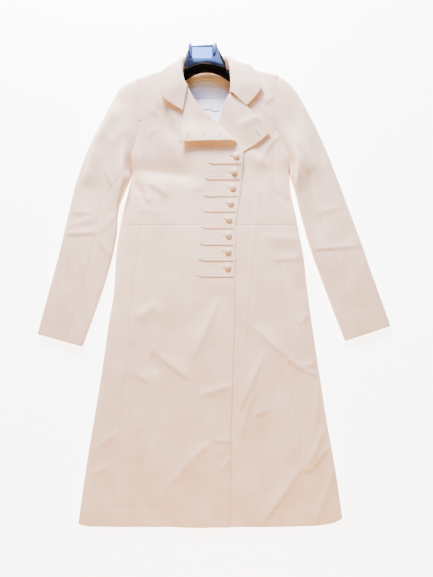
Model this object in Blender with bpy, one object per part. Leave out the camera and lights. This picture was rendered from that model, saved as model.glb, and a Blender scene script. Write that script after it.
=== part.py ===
"""A knee-length wool coat that lies flat on its back, with a coat hanger inside its shoulders.

Lengths are in millimetres here and become metres in the meshes. +X is the viewer's right, +Y runs
from the hem to the neck and +Z is up, away from the surface that the coat lies on. Left and right
in the names are the wearer's, so the right front is at -X. Each piece of cloth is a thin wall.
"""

import math

import bmesh
import bpy
from mathutils import Vector

MM = 0.001

# Cloth
CLOTH = 2.4
LINING = 1.2
FACING = 2.0
LABEL = 1.0
SEAM_GAP = 0.4
ARMHOLE_GAP = 1.0
BACK_INSET = 1.8
LAYER_GAP = 0.4
LAYER = CLOTH + LAYER_GAP

# Lengths down the coat
WAIST_Y = 124.0
UNDERARM_Y = 243.0
PRINCESS_TOP_RIGHT = 368.0
PRINCESS_TOP_LEFT = 350.0
NECK_RIGHT_X = -82.5
NECK_LEFT_X = 48.0
NECK_CENTRE_X = -20.0
NECKLINE_Y = 500.0

# The flat coat's thickness
SIDE_SEAM_Z = 5.4
SIDE_ROUND = 15.0
SHOULDER_RISE = 33.0
SHOULDER_FALL = 150.0
SHOULDER_TURN = 14.0
SHOULDER_SEAM_Z = 25.0
OVERLAP = 85.0
NECK_LIFT = 4.0
LAPEL_LIFT = 3.4

# Fastenings
BUTTON_RADIUS = 7.6
BUTTON_HEIGHT = 5.2
BUTTON_LIFT = 1.0
TUCK_THICKNESS = 1.8
TUCK_WIDTH = 10.5
TUCK_GAP = 0.8


def smooth(share):
    share = min(1.0, max(0.0, share))
    return share * share * (3.0 - 2.0 * share)


def ramp(value, start, end):
    return smooth((value - start) / (end - start))


def straight(rows):
    """The values between a table's rows, in straight lines. The first column rises down the table."""
    def at(key):
        key = min(max(key, rows[0][0]), rows[-1][0])
        for low, high in zip(rows, rows[1:]):
            if key <= high[0]:
                share = (key - low[0]) / (high[0] - low[0])
                return [a + (b - a) * share for a, b in zip(low[1:], high[1:])]
    return at


def curved(rows):
    """The values between a table's rows, on a smooth line through them."""
    count = len(rows)

    def slope(i, column):
        low, high = rows[max(i - 1, 0)], rows[min(i + 1, count - 1)]
        return (high[column] - low[column]) / (high[0] - low[0])

    def at(key):
        key = min(max(key, rows[0][0]), rows[-1][0])
        i = max(j for j in range(count - 1) if rows[j][0] <= key)
        low, high = rows[i], rows[i + 1]
        span = high[0] - low[0]
        t = (key - low[0]) / span
        out = []
        for column in range(1, len(low)):
            a, b = low[column], high[column]
            da, db = slope(i, column) * span, slope(i + 1, column) * span
            out.append(a + t * (da + t * (3 * (b - a) - 2 * da - db + t * (da + db - 2 * (b - a)))))
        return out
    return at


def single(table):
    return lambda key: table(key)[0]


# Outlines seen from above, each a table of (y, x), or of (y, left x, right x)
SIDE_SEAMS = curved([
    (-548, -297, 283), (-517, -294, 280), (-416, -283, 267), (-312, -268, 251), (-206, -254, 237),
    (-97, -241, 223), (-42, -233, 217), (43, -230, 209), (99, -225, 200), (157, -215, 191),
    (200, -205, 182), (243, -196, 179)])
ARMHOLE_RIGHT = single(curved([
    (243, -196), (265, -198), (293, -193), (323, -185), (352, -178), (384, -176), (432, -176),
    (455, -181), (470, -188)]))
ARMHOLE_LEFT = single(curved([
    (243, 179), (270, 177), (298, 171), (323, 159), (352, 147), (384, 142), (430, 140),
    (461, 145), (480, 154)]))
PRINCESS_RIGHT = single(curved([
    (-548, -224), (-435, -218), (-335, -211), (-254, -205), (-142, -196), (-65, -191), (20, -182),
    (124, -170), (170, -166), (299, -165), (350, -170), (368, -172)]))
PRINCESS_LEFT = single(curved([
    (-548, 204), (-476, 197), (-335, 187), (-274, 177), (-201, 171), (-86, 165), (20, 155),
    (124, 147), (172, 143), (260, 139), (320, 140), (350, 143)]))
FRONT_EDGE = single(curved([
    (-548, 35), (-435, 36), (-274, 40), (-108, 46), (41, 49), (124, 51), (182, 58), (213, 63),
    (260, 67), (296, 68)]))
ROLL_RIGHT_ROWS = [
    (296, 68), (303, 64.5), (311, 60), (319, 52), (331, 39), (343, 27), (365, 2), (394, -29), (416, -47)]
ROLL_LEFT_ROWS = [
    (124, -34), (270, -18), (278, -8), (310, -4), (340, 2), (368, 9), (392, 18), (414, 27)]
ROLL_RIGHT = single(straight(ROLL_RIGHT_ROWS + [(444, -62)]))
ROLL_LEFT = single(straight(ROLL_LEFT_ROWS + [(430, 35)]))
# The fronts' inner edges go on from the roll lines, round the collar's stand, to the shoulder seam
INNER_RIGHT = single(straight(ROLL_RIGHT_ROWS + [
    (428, -56), (436, -73), (446, -80), (456, NECK_RIGHT_X), (520, NECK_RIGHT_X)]))
INNER_LEFT = single(straight(ROLL_LEFT_ROWS + [
    (417, 33), (423, 43), (436, 47.5), (446, NECK_LEFT_X), (520, NECK_LEFT_X)]))
# The hem and, further down, the lower edge of the neck facing: (x, y)
HEM_CURVE = single(curved([
    (-297, -541), (-271, -546), (35, -548), (194, -546), (256, -541), (283, -531)]))
LAPEL_LOW = 317.0
LAPEL_RIGHT_EDGE = single(straight([(316, -80), (321, -77), (358, -74), (392, -71.5), (444, -63)]))
LAPEL_LEFT_EDGE = single(straight([
    (280, 10), (285, 35), (296, 68), (316, 101), (326, 115), (341, 131), (372, 103), (401, 74),
    (417, 58), (430, 36)]))
# Labels: name, then left and right along X and low and high along Y
LABELS = [("neck_label", -54, 15, 438.5, 466), ("care_label_1", -34, -6.5, 410, 437.5),
          ("care_label_2", -5.5, 11, 406, 437.5)]
FACING_EDGE = single(curved([
    (-84, 450), (-59, 472), (-45, 479), (-28, 483.5), (-10, 483), (11, 471.5), (21, 463), (33, 450),
    (62, 430)]))
# How high the fronts lie over the ground, by Y, before folds and the hanger raise them
LYING = single(curved([(-548, 8.0), (-300, 10.5), (0, 12.5), (124, 13.0), (300, 14.5), (520, 14.5)]))

# Main folds: from one point to another, how wide and how high. A trough has a height under zero.
FOLD_COLUMNS = ("x0", "y0", "x1", "y1", "width", "height")
FOLDS = [dict(zip(FOLD_COLUMNS, row)) for row in [
    (-47, -187, 11, -51, 24, 3.0),
    (-127, -175, -55, -230, 22, 3.2),
    (-141, -170, -129, -222, 18, -2.6),
    (-47, -187, -10, -330, 20, -2.6),
    (-34, -263, 37, -241, 20, 2.4),
    (-9, -365, -95, -454, 24, 3.0),
    (-180, -295, -164, -400, 22, 2.6),
    (79, -104, 189, -203, 24, 3.0),
    (113, -176, 58, -295, 24, 2.8),
    (247, -329, 205, -420, 20, 2.6),
    (193, -419, 104, -540, 24, 3.0),
    (-150, 262, -60, 250, 26, -3.0),
    (-190, 235, -170, 180, 22, -3.0),
    (150, 66, 205, 70, 24, -2.6),
]]


def folds(x, y):
    total = 0.0
    for fold in FOLDS:
        run = Vector((fold["x1"] - fold["x0"], fold["y1"] - fold["y0"]))
        place = Vector((x - fold["x0"], y - fold["y0"]))
        along = place.dot(run) / run.length_squared
        aside = abs(place.cross(run)) / run.length
        ends = smooth(1.0 - abs(along - 0.5) * 1.6)
        total += fold["height"] * math.exp(-(aside / fold["width"]) ** 2) * ends
    return total


def shoulder_line(x):
    """Where the shoulder seam is along Y."""
    if x < NECK_CENTRE_X:
        return 468.0 + (x + 188.0) * 0.362
    return 478.0 + (154.0 - x) * 0.262


def turned(down):
    """From 0 on the shoulder seam to 1 where the cloth lies over the hanger."""
    share = min(1.0, max(0.0, down / SHOULDER_TURN))
    return math.sqrt(1.0 - (1.0 - share) ** 2)


def laid_height(x, y, creased):
    """The upper face of the fronts: low at the side seams and raised over the hanger."""
    down = shoulder_line(x) - y
    body = LYING(y) + SHOULDER_RISE * math.exp(-(max(down, 0.0) / SHOULDER_FALL) ** 2)
    side_left, side_right = SIDE_SEAMS(y)
    inside = max(0.0, min(x - side_left, side_right - x))
    plump = 1.0 - math.exp(-inside / SIDE_ROUND)
    plump += (1.0 - plump) * ramp(y, UNDERARM_Y, UNDERARM_Y + 47.0)
    body += creased * plump
    body = SIDE_SEAM_Z + (body - SIDE_SEAM_Z) * plump
    return SHOULDER_SEAM_Z + (body - SHOULDER_SEAM_Z) * turned(down)


def right_front_height(x, y):
    """The right front also lies over the left front and, higher up, over the left lapel."""
    edge = FRONT_EDGE(y)
    under = LAYER + (LAPEL_LIFT + LAYER_GAP) * ramp(y, 225.0, 270.0)
    return laid_height(x, y, folds(x, y)) + under * ramp(x, edge - 150.0, edge - 88.0)


def left_front_height(x, y):
    """The left front lies a little lower where the right front covers it."""
    hidden = ramp(FRONT_EDGE(y) - x, 2.0, 25.0)
    creased = folds(x, y)
    creased += (min(creased, 0.0) - creased) * hidden
    return laid_height(x, y, creased) - LAYER_GAP * hidden


def back_height(x, y):
    """The underside of the back: flat on the ground, and turned up at the shoulders and the neck."""
    down = shoulder_line(x) - y
    neck = ramp(y, 440.0, 484.0) * ramp(95.0 - abs(x - NECK_CENTRE_X), 0.0, 30.0)
    seam = SHOULDER_SEAM_Z - 1.7
    return max(seam * (1.0 - turned(down)), NECK_LIFT * neck)


def on(height, lift=0.0):
    """A surface over the plan, given by its height at (x, y)."""
    return lambda x, y: Vector((x, y, height(x, y) + lift))


def moved(surface, distance, step=1.0):
    """A surface's points moved out by a distance, for what lies on it."""
    return lambda a, b: surface(a, b) + face_of(surface, a, b, step) * distance


def material(name, colour, roughness, metallic=0.0):
    made = bpy.data.materials.new(name)
    made.use_nodes = True
    shader = made.node_tree.nodes["Principled BSDF"]
    shader.inputs["Base Color"].default_value = (*colour, 1.0)
    shader.inputs["Roughness"].default_value = roughness
    shader.inputs["Metallic"].default_value = metallic
    return made


def add_object(name, mesh_data, finish):
    """A closed mesh as an object. Its faces run the same way round, and are turned outwards here."""
    if mesh_data.calc_volume(signed=True) < 0.0:
        bmesh.ops.reverse_faces(mesh_data, faces=mesh_data.faces)
    mesh = bpy.data.meshes.new(name)
    mesh_data.to_mesh(mesh)
    mesh_data.free()
    mesh.shade_smooth()
    mesh.set_sharp_from_angle(angle=math.radians(40.0))
    mesh.materials.append(finish)
    made = bpy.data.objects.new(name, mesh)
    bpy.context.collection.objects.link(made)
    return made


def face_of(surface, a, b, step):
    """The surface's direction outwards at (a, b)."""
    across = surface(a + step, b) - surface(a - step, b)
    along = surface(a, b + step) - surface(a, b - step)
    return across.cross(along).normalized()


def wall(name, surface, places, thickness, finish, outward=1.0, step=1.0):
    """A sheet of cloth: points on a surface at a grid of places, and the same points moved in."""
    sheet = bmesh.new()
    outer, inner = [], []
    for row in places:
        points = [surface(a, b) for a, b in row]
        normals = [face_of(surface, a, b, step) * outward for a, b in row]
        outer.append([sheet.verts.new(p * MM) for p in points])
        inner.append([sheet.verts.new((p - n * thickness) * MM) for p, n in zip(points, normals)])
    rows, columns = len(outer), len(outer[0])
    for i in range(rows - 1):
        for j in range(columns - 1):
            sheet.faces.new((outer[i][j], outer[i][j + 1], outer[i + 1][j + 1], outer[i + 1][j]))
            sheet.faces.new((inner[i][j], inner[i + 1][j], inner[i + 1][j + 1], inner[i][j + 1]))
    rim = [(0, j) for j in range(columns)] + [(i, columns - 1) for i in range(1, rows)]
    rim += [(rows - 1, j) for j in range(columns - 2, -1, -1)] + [(i, 0) for i in range(rows - 2, 0, -1)]
    for (i, j), (k, m) in zip(rim, rim[1:] + rim[:1]):
        sheet.faces.new((outer[k][m], outer[i][j], inner[i][j], inner[k][m]))
    return add_object(name, sheet, finish)


def steps(count, low=0.0, high=1.0):
    return [low + (high - low) * i / count for i in range(count + 1)]


def plan(left, right, low, high, columns, rows):
    """Places for a panel between two outlines. low and high give its ends along Y at a share across."""
    grid = []
    for v in rows:
        row = []
        for u in columns:
            y = low(u) + (high(u) - low(u)) * v
            x0, x1 = left(y) + SEAM_GAP / 2, right(y) - SEAM_GAP / 2
            row.append((x0 + (x1 - x0) * u, y))
        grid.append(row)
    return grid


def level(y):
    return lambda u: y


def side_left(y):
    """The right side seam and, above the underarm, the right armhole."""
    return ARMHOLE_RIGHT(y) if y > UNDERARM_Y else SIDE_SEAMS(y)[0]


def side_right(y):
    return ARMHOLE_LEFT(y) if y > UNDERARM_Y else SIDE_SEAMS(y)[1]


def hem_between(left_x, right_x):
    return lambda u: HEM_CURVE(left_x + (right_x - left_x) * u)


def shoulder_between(left_x, right_x):
    return lambda u: shoulder_line(left_x + (right_x - left_x) * u)


def bodice_rows(corner):
    """Rows up a front bodice: two at its corner under the armhole, and close ones over the shoulder."""
    rows = [0, .1, .2, .3, .4, .48, .545, .59, .62, .67, .77, .83, .88, .92, .95, .97, .985, .995, 1]
    return sorted(rows + [corner, corner + .008])


def princess_or_armhole_right(y):
    return PRINCESS_RIGHT(y) if y < PRINCESS_TOP_RIGHT else ARMHOLE_RIGHT(y)


def princess_or_armhole_left(y):
    return PRINCESS_LEFT(y) if y < PRINCESS_TOP_LEFT else ARMHOLE_LEFT(y)


def roll_or_edge_right(y):
    return FRONT_EDGE(y) if y < 296.0 else INNER_RIGHT(y)


def hidden_left_edge(y):
    return FRONT_EDGE(y) - OVERLAP if y < WAIST_Y else INNER_LEFT(y)


def make_fronts(wool):
    above, below = level(WAIST_Y + SEAM_GAP / 2), level(WAIST_Y - SEAM_GAP / 2)
    right, left = on(right_front_height), on(left_front_height)
    rows = steps(21)
    wall("front_right_bodice", right, plan(
        princess_or_armhole_right, roll_or_edge_right, above, shoulder_between(-188, NECK_RIGHT_X),
        steps(9), bodice_rows(0.709)), CLOTH, wool)
    wall("front_left_bodice", left, plan(
        hidden_left_edge, princess_or_armhole_left, above, shoulder_between(NECK_LEFT_X, 154),
        steps(7), bodice_rows(0.638)), CLOTH, wool)
    wall("side_right_bodice", right, plan(
        side_left, PRINCESS_RIGHT, above, level(PRINCESS_TOP_RIGHT - 1.0), [0, .3, .65, 1],
        steps(14)), CLOTH, wool)
    wall("side_left_bodice", left, plan(
        PRINCESS_LEFT, side_right, above, level(PRINCESS_TOP_LEFT - 1.0), [0, .35, .7, 1],
        steps(14)), CLOTH, wool)
    wall("front_right_skirt", right, plan(
        PRINCESS_RIGHT, FRONT_EDGE, hem_between(-224, 35), below, steps(10), rows), CLOTH, wool)
    wall("front_left_skirt", left, plan(
        hidden_left_edge, PRINCESS_LEFT, hem_between(-50, 204), below, steps(10), rows), CLOTH, wool)
    wall("side_right_skirt", right, plan(
        side_left, PRINCESS_RIGHT, hem_between(-297, -224), below, [0, .15, .5, 1], rows), CLOTH, wool)
    wall("side_left_skirt", left, plan(
        PRINCESS_LEFT, side_right, hem_between(204, 283), below, [0, .5, .85, 1], rows), CLOTH, wool)


def make_back(wool):
    def neckline(u):
        x = -188.0 + 342.0 * u
        return min(shoulder_line(x), NECKLINE_Y + 9.0 * smooth(abs(x - NECK_CENTRE_X) / 62.0))
    rows = [0, .12, .24, .36, .48, .58, .68, .76, .83, .865, .9, .93, .955, .975, .99, 1]

    def left(y):
        return side_left(y) + BACK_INSET * ramp(y, 185.0, 210.0)

    def right(y):
        return side_right(y) - BACK_INSET * ramp(y, 185.0, 210.0)
    columns = [0, .06, .14, .22, .30, .36, .42, .49, .56, .62, .68, .76, .85, .94, 1]
    under = on(back_height)
    wall("back_bodice", under, plan(
        left, right, level(WAIST_Y + SEAM_GAP / 2), neckline, columns, rows), CLOTH, wool, outward=-1.0)
    wall("back_skirt", under, plan(
        side_left, side_right, hem_between(-297, 283), level(WAIST_Y - SEAM_GAP / 2),
        steps(6), steps(12)), CLOTH, wool, outward=-1.0)


# Sleeves: how far down, the outer edge, the inner edge, and the heights of its top and of its edges
SLEEVE_COLUMNS = ("down", "outer_x", "outer_y", "inner_x", "inner_y", "top", "edge")
SLEEVE_RIGHT = [
    (0.00, -188.5, 469, -196.5, 243, 46, 23.5),
    (0.06, -220, 448, -200, 232, 44, 23),
    (0.12, -239, 417, -204, 221, 41, 21),
    (0.18, -255, 387, -208, 211, 37, 19),
    (0.24, -270, 358, -212, 201, 33, 17),
    (0.31, -286, 328, -216, 190, 29, 15),
    (0.38, -299, 299, -220, 178, 26, 13),
    (0.45, -310, 270, -224, 163, 23, 12),
    (0.53, -325, 220, -226, 140, 21, 11),
    (0.62, -339, 155, -228, 100, 19, 10),
    (0.72, -354, 80, -236, 52, 17, 9),
    (0.81, -370, 8, -249, -2, 15, 8),
    (0.90, -386, -58, -267, -62, 13.5, 7),
    (1.00, -403, -129, -299, -158, 11, 5.8)]
SLEEVE_LEFT = [
    (0.00, 154.5, 479, 179.5, 243, 46, 23.5),
    (0.06, 187, 448, 184, 230, 44, 23),
    (0.12, 207, 417, 187, 218, 41, 21),
    (0.18, 223, 387, 190, 206, 37, 19),
    (0.24, 238, 358, 193, 194, 33, 17),
    (0.31, 252, 328, 196, 180, 29, 15),
    (0.38, 266, 296, 200, 162, 26, 13),
    (0.45, 279, 262, 205, 140, 23, 12),
    (0.53, 294, 220, 212, 112, 21, 11),
    (0.62, 316, 155, 222, 74, 19, 10),
    (0.72, 341, 82, 236, 30, 17, 9),
    (0.81, 362, 14, 252, -16, 15, 8),
    (0.90, 382, -46, 270, -68, 13.5, 7),
    (1.00, 403, -111, 298, -145, 11, 5.8)]
# Where the seam lies across the upper face, from 0 at the outer edge to 1 at the inner edge
SLEEVE_SEAM = single(curved([(0.0, 0.93), (0.3, 0.80), (0.55, 0.62), (0.75, 0.60), (1.0, 0.64)]))
BACK_SEAM = 1.66
UNDERARM_EDGE = 7.0
UNDERARM_TOP = 14.0


def sleeve_surface(rows, armhole):
    """Points round a flat sleeve. around is 0 at its outer edge, 1 at its inner edge and 2 at the outer again.

    The top is from 0 to 1 and the underside from 1 to 2. down is 0 at the armhole and 1 at the cuff.
    """
    table = curved(rows)
    head = dict(zip(SLEEVE_COLUMNS, rows[0]))

    def bow(u):
        y = head["outer_y"] + (head["inner_y"] - head["outer_y"]) * u
        away = math.copysign(ARMHOLE_GAP, head["outer_x"])
        return armhole(y) + away - (head["outer_x"] + (head["inner_x"] - head["outer_x"]) * u)

    def at(around, down):
        around = around % 2.0
        row = dict(zip(SLEEVE_COLUMNS[1:], table(down)))
        turn = math.pi * around
        u = (1.0 - math.cos(turn)) / 2.0
        edge = row["edge"] + (min(row["edge"], UNDERARM_EDGE) - row["edge"]) * u
        swell = math.sqrt(1.0 - (1.0 - min(1.0, 1.5 * abs(math.sin(turn)))) ** 2)
        x = row["outer_x"] + (row["inner_x"] - row["outer_x"]) * u
        y = row["outer_y"] + (row["inner_y"] - row["outer_y"]) * u
        x += bow(u) * (1.0 - ramp(down, 0.0, 0.22))
        joined = (1.0 - ramp(down, 0.0, 0.16)) * (1.0 - ramp(u, 0.8, 1.0))
        if around <= 1.0:
            front = max(laid_height(x, y, folds(x, y)), UNDERARM_TOP)
            top = row["top"] + (front - row["top"]) * (1.0 - ramp(down, 0.0, 0.16))
            z = edge + (top - edge) * swell
        else:
            z = edge * (1.0 - swell)
            z += (back_height(x, y) - z) * joined
        return Vector((x, y, z))
    return at


def sleeve_places(start, end, columns, rows):
    """Places round a sleeve between two lines that run down it."""
    return [[(start(v) + (end(v) - start(v)) * u, v) for u in columns] for v in rows]


def seam_angle(share):
    """The way round a sleeve at which its upper face has this share of its width behind it."""
    return math.acos(1.0 - 2.0 * share) / math.pi


def make_sleeves(wool):
    rows = [0, .03, .07, .12, .18, .25, .32, .4, .48, .56, .65, .75, .87, 1]
    gap = 0.004
    sides = [("right", SLEEVE_RIGHT, ARMHOLE_RIGHT), ("left", SLEEVE_LEFT, ARMHOLE_LEFT)]
    for side, table, armhole in sides:
        surface = sleeve_surface(table, armhole)
        outward = -1.0 if side == "right" else 1.0

        def seam(v):
            return seam_angle(SLEEVE_SEAM(v))
        wall(f"sleeve_top_{side}", surface, sleeve_places(
            lambda v: BACK_SEAM - 2.0 + gap, lambda v: seam(v) - gap, steps(9), rows),
            CLOTH, wool, outward, 0.001)
        wall(f"sleeve_under_{side}", surface, sleeve_places(
            lambda v: seam(v) + gap, lambda v: BACK_SEAM - gap, steps(8), rows), CLOTH, wool, outward, 0.001)


def make_lapels(wool):
    right_rows = [0, .032, .12, .22, .325, .43, .57, .7, .8, .9, 1]
    wall("lapel_right", on(right_front_height, LAPEL_LIFT), plan(
        LAPEL_RIGHT_EDGE, ROLL_RIGHT, level(LAPEL_LOW), level(443.0), steps(9), right_rows), CLOTH, wool)
    low, high = 280.5, 428.0
    corners = [280.5, 285, 296, 306, 316, 326, 333.5, 341, 351, 361, 372, 386, 401, 409, 417, 428]
    left_rows = [(y - low) / (high - low) for y in corners]
    wall("lapel_left", on(left_front_height, LAPEL_LIFT), plan(
        ROLL_LEFT, LAPEL_LEFT_EDGE, level(low), level(high), steps(8), left_rows), CLOTH, wool)


# The collar from its right gorge seam, round the back of the neck, to its left gorge seam:
# the neck seam, the roll line and the outer edge
COLLAR_SECTIONS = curved([
    # (place, seam x, y, z, roll x, y, z, edge x, y, z)
    (0.0, -68, 438, 35.5, -63.5, 446, 46.5, -73.5, 391, 37.0),
    (1.0, -73, 446, 35.5, -67.5, 451, 48.5, -98, 404, 42.5),
    (2.0, -77, 457, 37, -71, 458, 50, -120, 418, 49.5),
    (3.0, -79, 471, 39, -74, 471, 51, -124, 440, 53),
    (4.0, -79.5, 487, 38, -75.5, 489, 51, -123, 462, 53),
    (5.0, -79, 501, 31, -76, 507, 46.5, -116, 485, 50),
    (6.0, -74, 508, 20, -74, 524, 35, -103, 507, 21),
    (7.0, -56, 510, 12, -62, 537, 16, -74, 511, 3.4),
    (8.0, -20, 504, 9.5, -20, 542, 5.5, -20, 489, 2.7),
    (9.0, 16, 510, 12, 14, 539, 15, 34, 511, 3.4),
    (10.0, 36, 506, 20, 29, 526, 35, 62, 509, 21),
    (11.0, 44.5, 498, 31, 34, 508, 46.5, 82, 494, 49),
    (12.0, 45, 483, 38, 37, 490, 51, 97, 474, 53),
    (13.0, 44.5, 468, 39, 39, 470, 51, 107, 454, 54),
    (14.0, 43.5, 454, 37, 39.5, 452, 50, 111, 440, 53.5),
    (15.0, 41.5, 440, 36, 39.5, 440, 48.5, 93, 417, 47),
    (16.0, 39, 429, 35.5, 38, 431, 46.5, 75, 400, 42)])
COLLAR_FOLD = 3.4
COLLAR_LOW = 2.6


def collar_surface(across, place):
    """A point across the folded collar, from 0 at the neck seam over the roll line to 1 at the edge."""
    values = COLLAR_SECTIONS(place)
    seam, roll, edge = Vector(values[0:3]), Vector(values[3:6]), Vector(values[6:9])
    fold = (roll - (seam + edge) / 2.0).normalized()
    over = seam - edge
    over = (over - fold * over.dot(fold)).normalized()
    before = roll - fold * COLLAR_FOLD + over * COLLAR_FOLD
    after = roll - fold * COLLAR_FOLD - over * COLLAR_FOLD
    points = [(0.0, seam), (0.16, seam.lerp(before, 0.55)), (0.30, before), (0.36, roll), (0.42, after),
              (0.70, after.lerp(edge, 0.5)), (1.0, edge)]
    point = Vector(curved([(key, *point) for key, point in points])(across))
    point.z = max(point.z, COLLAR_LOW)
    return point


def make_collar(wool):
    across = [0, .2, .31, .36, .41, .55, .77, 1]
    places = [[(a, s) for a in across] for s in steps(32, 0.0, 16.0)]
    wall("collar", collar_surface, places, 2.2, wool, outward=1.0, step=0.01)


def make_neck_inside(wool, silk, label):
    """The facing, the lining and the labels lie on the back, inside the open neck."""
    left, right = -72.0, 42.0
    band = single(straight([(x, FACING_EDGE(x)) for x in steps(12, left, right)]))

    def lower(u):
        return band(left + (right - left) * u)

    def upper(u):
        x = left + (right - left) * u
        return min(shoulder_line(x) - SHOULDER_TURN - 4.0, NECKLINE_Y - 3.0)

    def above(thickness, gap):
        return moved(on(back_height), CLOTH + gap + thickness)
    wall("neck_facing", above(FACING, 0.8), plan(
        level(left), level(right), lambda u: lower(u) + 0.6, upper, steps(14), steps(4)), FACING, wool)
    wall("lining", above(LINING, 0.6), plan(
        level(left), level(right), level(345.0), lambda u: lower(u) - 0.6, steps(10),
        [0, .35, .7, .8, .9, 1]), LINING, silk)
    for name, x0, x1, y0, y1 in LABELS:
        wall(name, above(LABEL, LINING + 1.3), plan(
            level(x0), level(x1), level(y0), level(y1), steps(3), steps(2)), LABEL, label)


# Tucks and buttons from the top down: the left end of the tuck, its lower edge, and the button's centre
FASTENING_COLUMNS = ("tuck_x", "tuck_y", "button_x", "button_y")
FASTENINGS = [dict(zip(FASTENING_COLUMNS, row)) for row in [
    (-3, 266, 51, 286), (-12, 230, 46, 250), (-15, 190, 43, 213), (-17, 153, 38, 176),
    (-21, 114, 34, 138), (-24, 75, 33, 100), (-26, 38, 32, 62), (-30, 1, 31, 25)]]
TUCK_END = 5.0


def make_fastenings(wool):
    for number, row in enumerate(FASTENINGS, 1):
        x0, y0 = row["tuck_x"], row["tuck_y"]
        wall(f"tuck_{number}", moved(on(right_front_height), TUCK_GAP + TUCK_THICKNESS), plan(
            level(x0), lambda y: FRONT_EDGE(y) - TUCK_END, level(y0), level(y0 + TUCK_WIDTH),
            steps(5), steps(1)), TUCK_THICKNESS, wool)
        x, y = row["button_x"], row["button_y"]
        make_button(f"button_{number}", Vector((x, y, right_front_height(x, y) + BUTTON_LIFT)), wool)


def make_button(name, foot, wool):
    """A domed, cloth-covered button: a turned shape on its foot."""
    profile = [(0.0, 0.0), (0.7, 0.0), (1.0, 0.35), (0.82, 0.76), (0.45, 0.96), (0.0, 1.0)]
    turned_shape = bmesh.new()
    points = [turned_shape.verts.new(Vector((r * BUTTON_RADIUS, 0.0, z * BUTTON_HEIGHT)) * MM)
              for r, z in profile]
    edges = [turned_shape.edges.new(pair) for pair in zip(points, points[1:])]
    bmesh.ops.spin(turned_shape, geom=points + edges, axis=(0, 0, 1), cent=(0, 0, 0), angle=math.tau,
                   steps=10, use_duplicate=False)
    bmesh.ops.remove_doubles(turned_shape, verts=turned_shape.verts, dist=0.00005)
    bmesh.ops.translate(turned_shape, verts=turned_shape.verts, vec=foot * MM)
    bmesh.ops.recalc_face_normals(turned_shape, faces=turned_shape.faces)
    add_object(name, turned_shape, wool)


def tube(name, sections, finish):
    """A solid through rings of points, with its two ends closed."""
    made = bmesh.new()
    rings = [[made.verts.new(point * MM) for point in ring] for ring in sections]
    for low, high in zip(rings, rings[1:]):
        for i in range(len(low)):
            j = (i + 1) % len(low)
            made.faces.new((low[i], low[j], high[j], high[i]))
    made.faces.new(rings[0][::-1])
    made.faces.new(rings[-1])
    add_object(name, made, finish)


# The hanger's bar: its centre, half its depth along Y, its middle height and half its thickness
HANGER_BAR = curved([
    # (x, y, half depth, z, half thickness)
    (-176, 437, 19, 22.3, 17.5), (-150, 450, 22, 22.3, 19), (-105, 464, 21, 21.5, 14),
    (-68, 488, 12.5, 22.6, 11.5), (-45, 498.5, 10.5, 25.2, 12), (-20, 504.5, 9.5, 25.2, 12),
    (5, 500, 10.5, 25.2, 12), (32, 488, 12.5, 22.6, 11.5), (70, 467, 21, 21.5, 14), (112, 456, 22, 22.3, 19),
    (140, 447, 19, 22.3, 17.5)])


def make_hanger(black, silver):
    """A broad suit hanger: an arched bar inside the shoulders, and a cap over its middle."""
    def ring(x):
        y, depth, z, thick = HANGER_BAR(x)
        return [Vector((x, y + depth * math.cos(t), z + thick * math.sin(t)))
                for t in steps(11, 0.0, math.tau * 11 / 12)]
    tube("hanger_shoulders", [ring(x) for x in steps(20, -172.0, 136.0)], black)
    # The cap's outline from its lower left foot, over the top and down to the right foot
    feet = [(-70, 483), (-70.5, 503), (-66, 524), (-60, 540), (-55, 544), (-50, 545), (-48, 539), (-5, 543),
            (-3, 548), (3, 548), (7, 543), (16, 526), (26, 503), (29, 486), (22, 487), (5, 492), (-15, 498),
            (-33, 496.5), (-54, 489.5)]
    low, high, shoulder = 37.6, 54.0, 50.0
    middle = Vector((NECK_CENTRE_X, 517.0, 0.0))
    rings = []
    for z, size in ((low, 0.97), (low + 4.0, 1.0), (shoulder, 1.0), (high, 0.9)):
        rings.append([middle + (Vector((x, y, 0.0)) - middle) * size + Vector((0.0, 0.0, z))
                      for x, y in feet])
    tube("hanger_cap", rings, silver)


def build():
    for old in list(bpy.data.objects):
        bpy.data.objects.remove(old, do_unlink=True)
    wool = material("wool cloth", (0.86, 0.74, 0.66), 0.85)
    silk = material("lining", (0.90, 0.86, 0.80), 0.55)
    label = material("woven label", (0.88, 0.84, 0.80), 0.75)
    black = material("black plastic", (0.02, 0.02, 0.02), 0.4)
    silver = material("glossy plastic", (0.35, 0.40, 0.50), 0.2)
    make_back(wool)
    make_fronts(wool)
    make_sleeves(wool)
    make_lapels(wool)
    make_collar(wool)
    make_neck_inside(wool, silk, label)
    make_fastenings(wool)
    make_hanger(black, silver)


build()
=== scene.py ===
"""A knee-length wool coat laid flat on its back, with a hanger in its shoulders, dressed over its solids.

Lengths in the tables are millimetres, and MM turns them to metres. +X is the viewer's right, +Y runs from
the hem to the neck and +Z is up. Left and right in the names are the wearer's.
"""

import math

import bmesh
import bpy
from mathutils import Matrix, Vector, noise


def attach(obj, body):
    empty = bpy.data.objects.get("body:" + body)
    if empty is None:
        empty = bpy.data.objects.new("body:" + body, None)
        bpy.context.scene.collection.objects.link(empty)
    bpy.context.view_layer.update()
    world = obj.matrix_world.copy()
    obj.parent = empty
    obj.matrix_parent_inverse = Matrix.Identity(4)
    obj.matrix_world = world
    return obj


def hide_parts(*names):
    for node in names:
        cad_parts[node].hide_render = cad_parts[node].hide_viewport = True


bl_info = {
    "name": "Wool coat laid flat",
    "version": (1, 0, 0),
    "blender": (4, 5, 0),
    "location": "3D View > Sidebar > Coat",
    "description": "Makes the cloth, the fastenings and the hanger of a coat that lies flat",
    "category": "Add Mesh",
}

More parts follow.
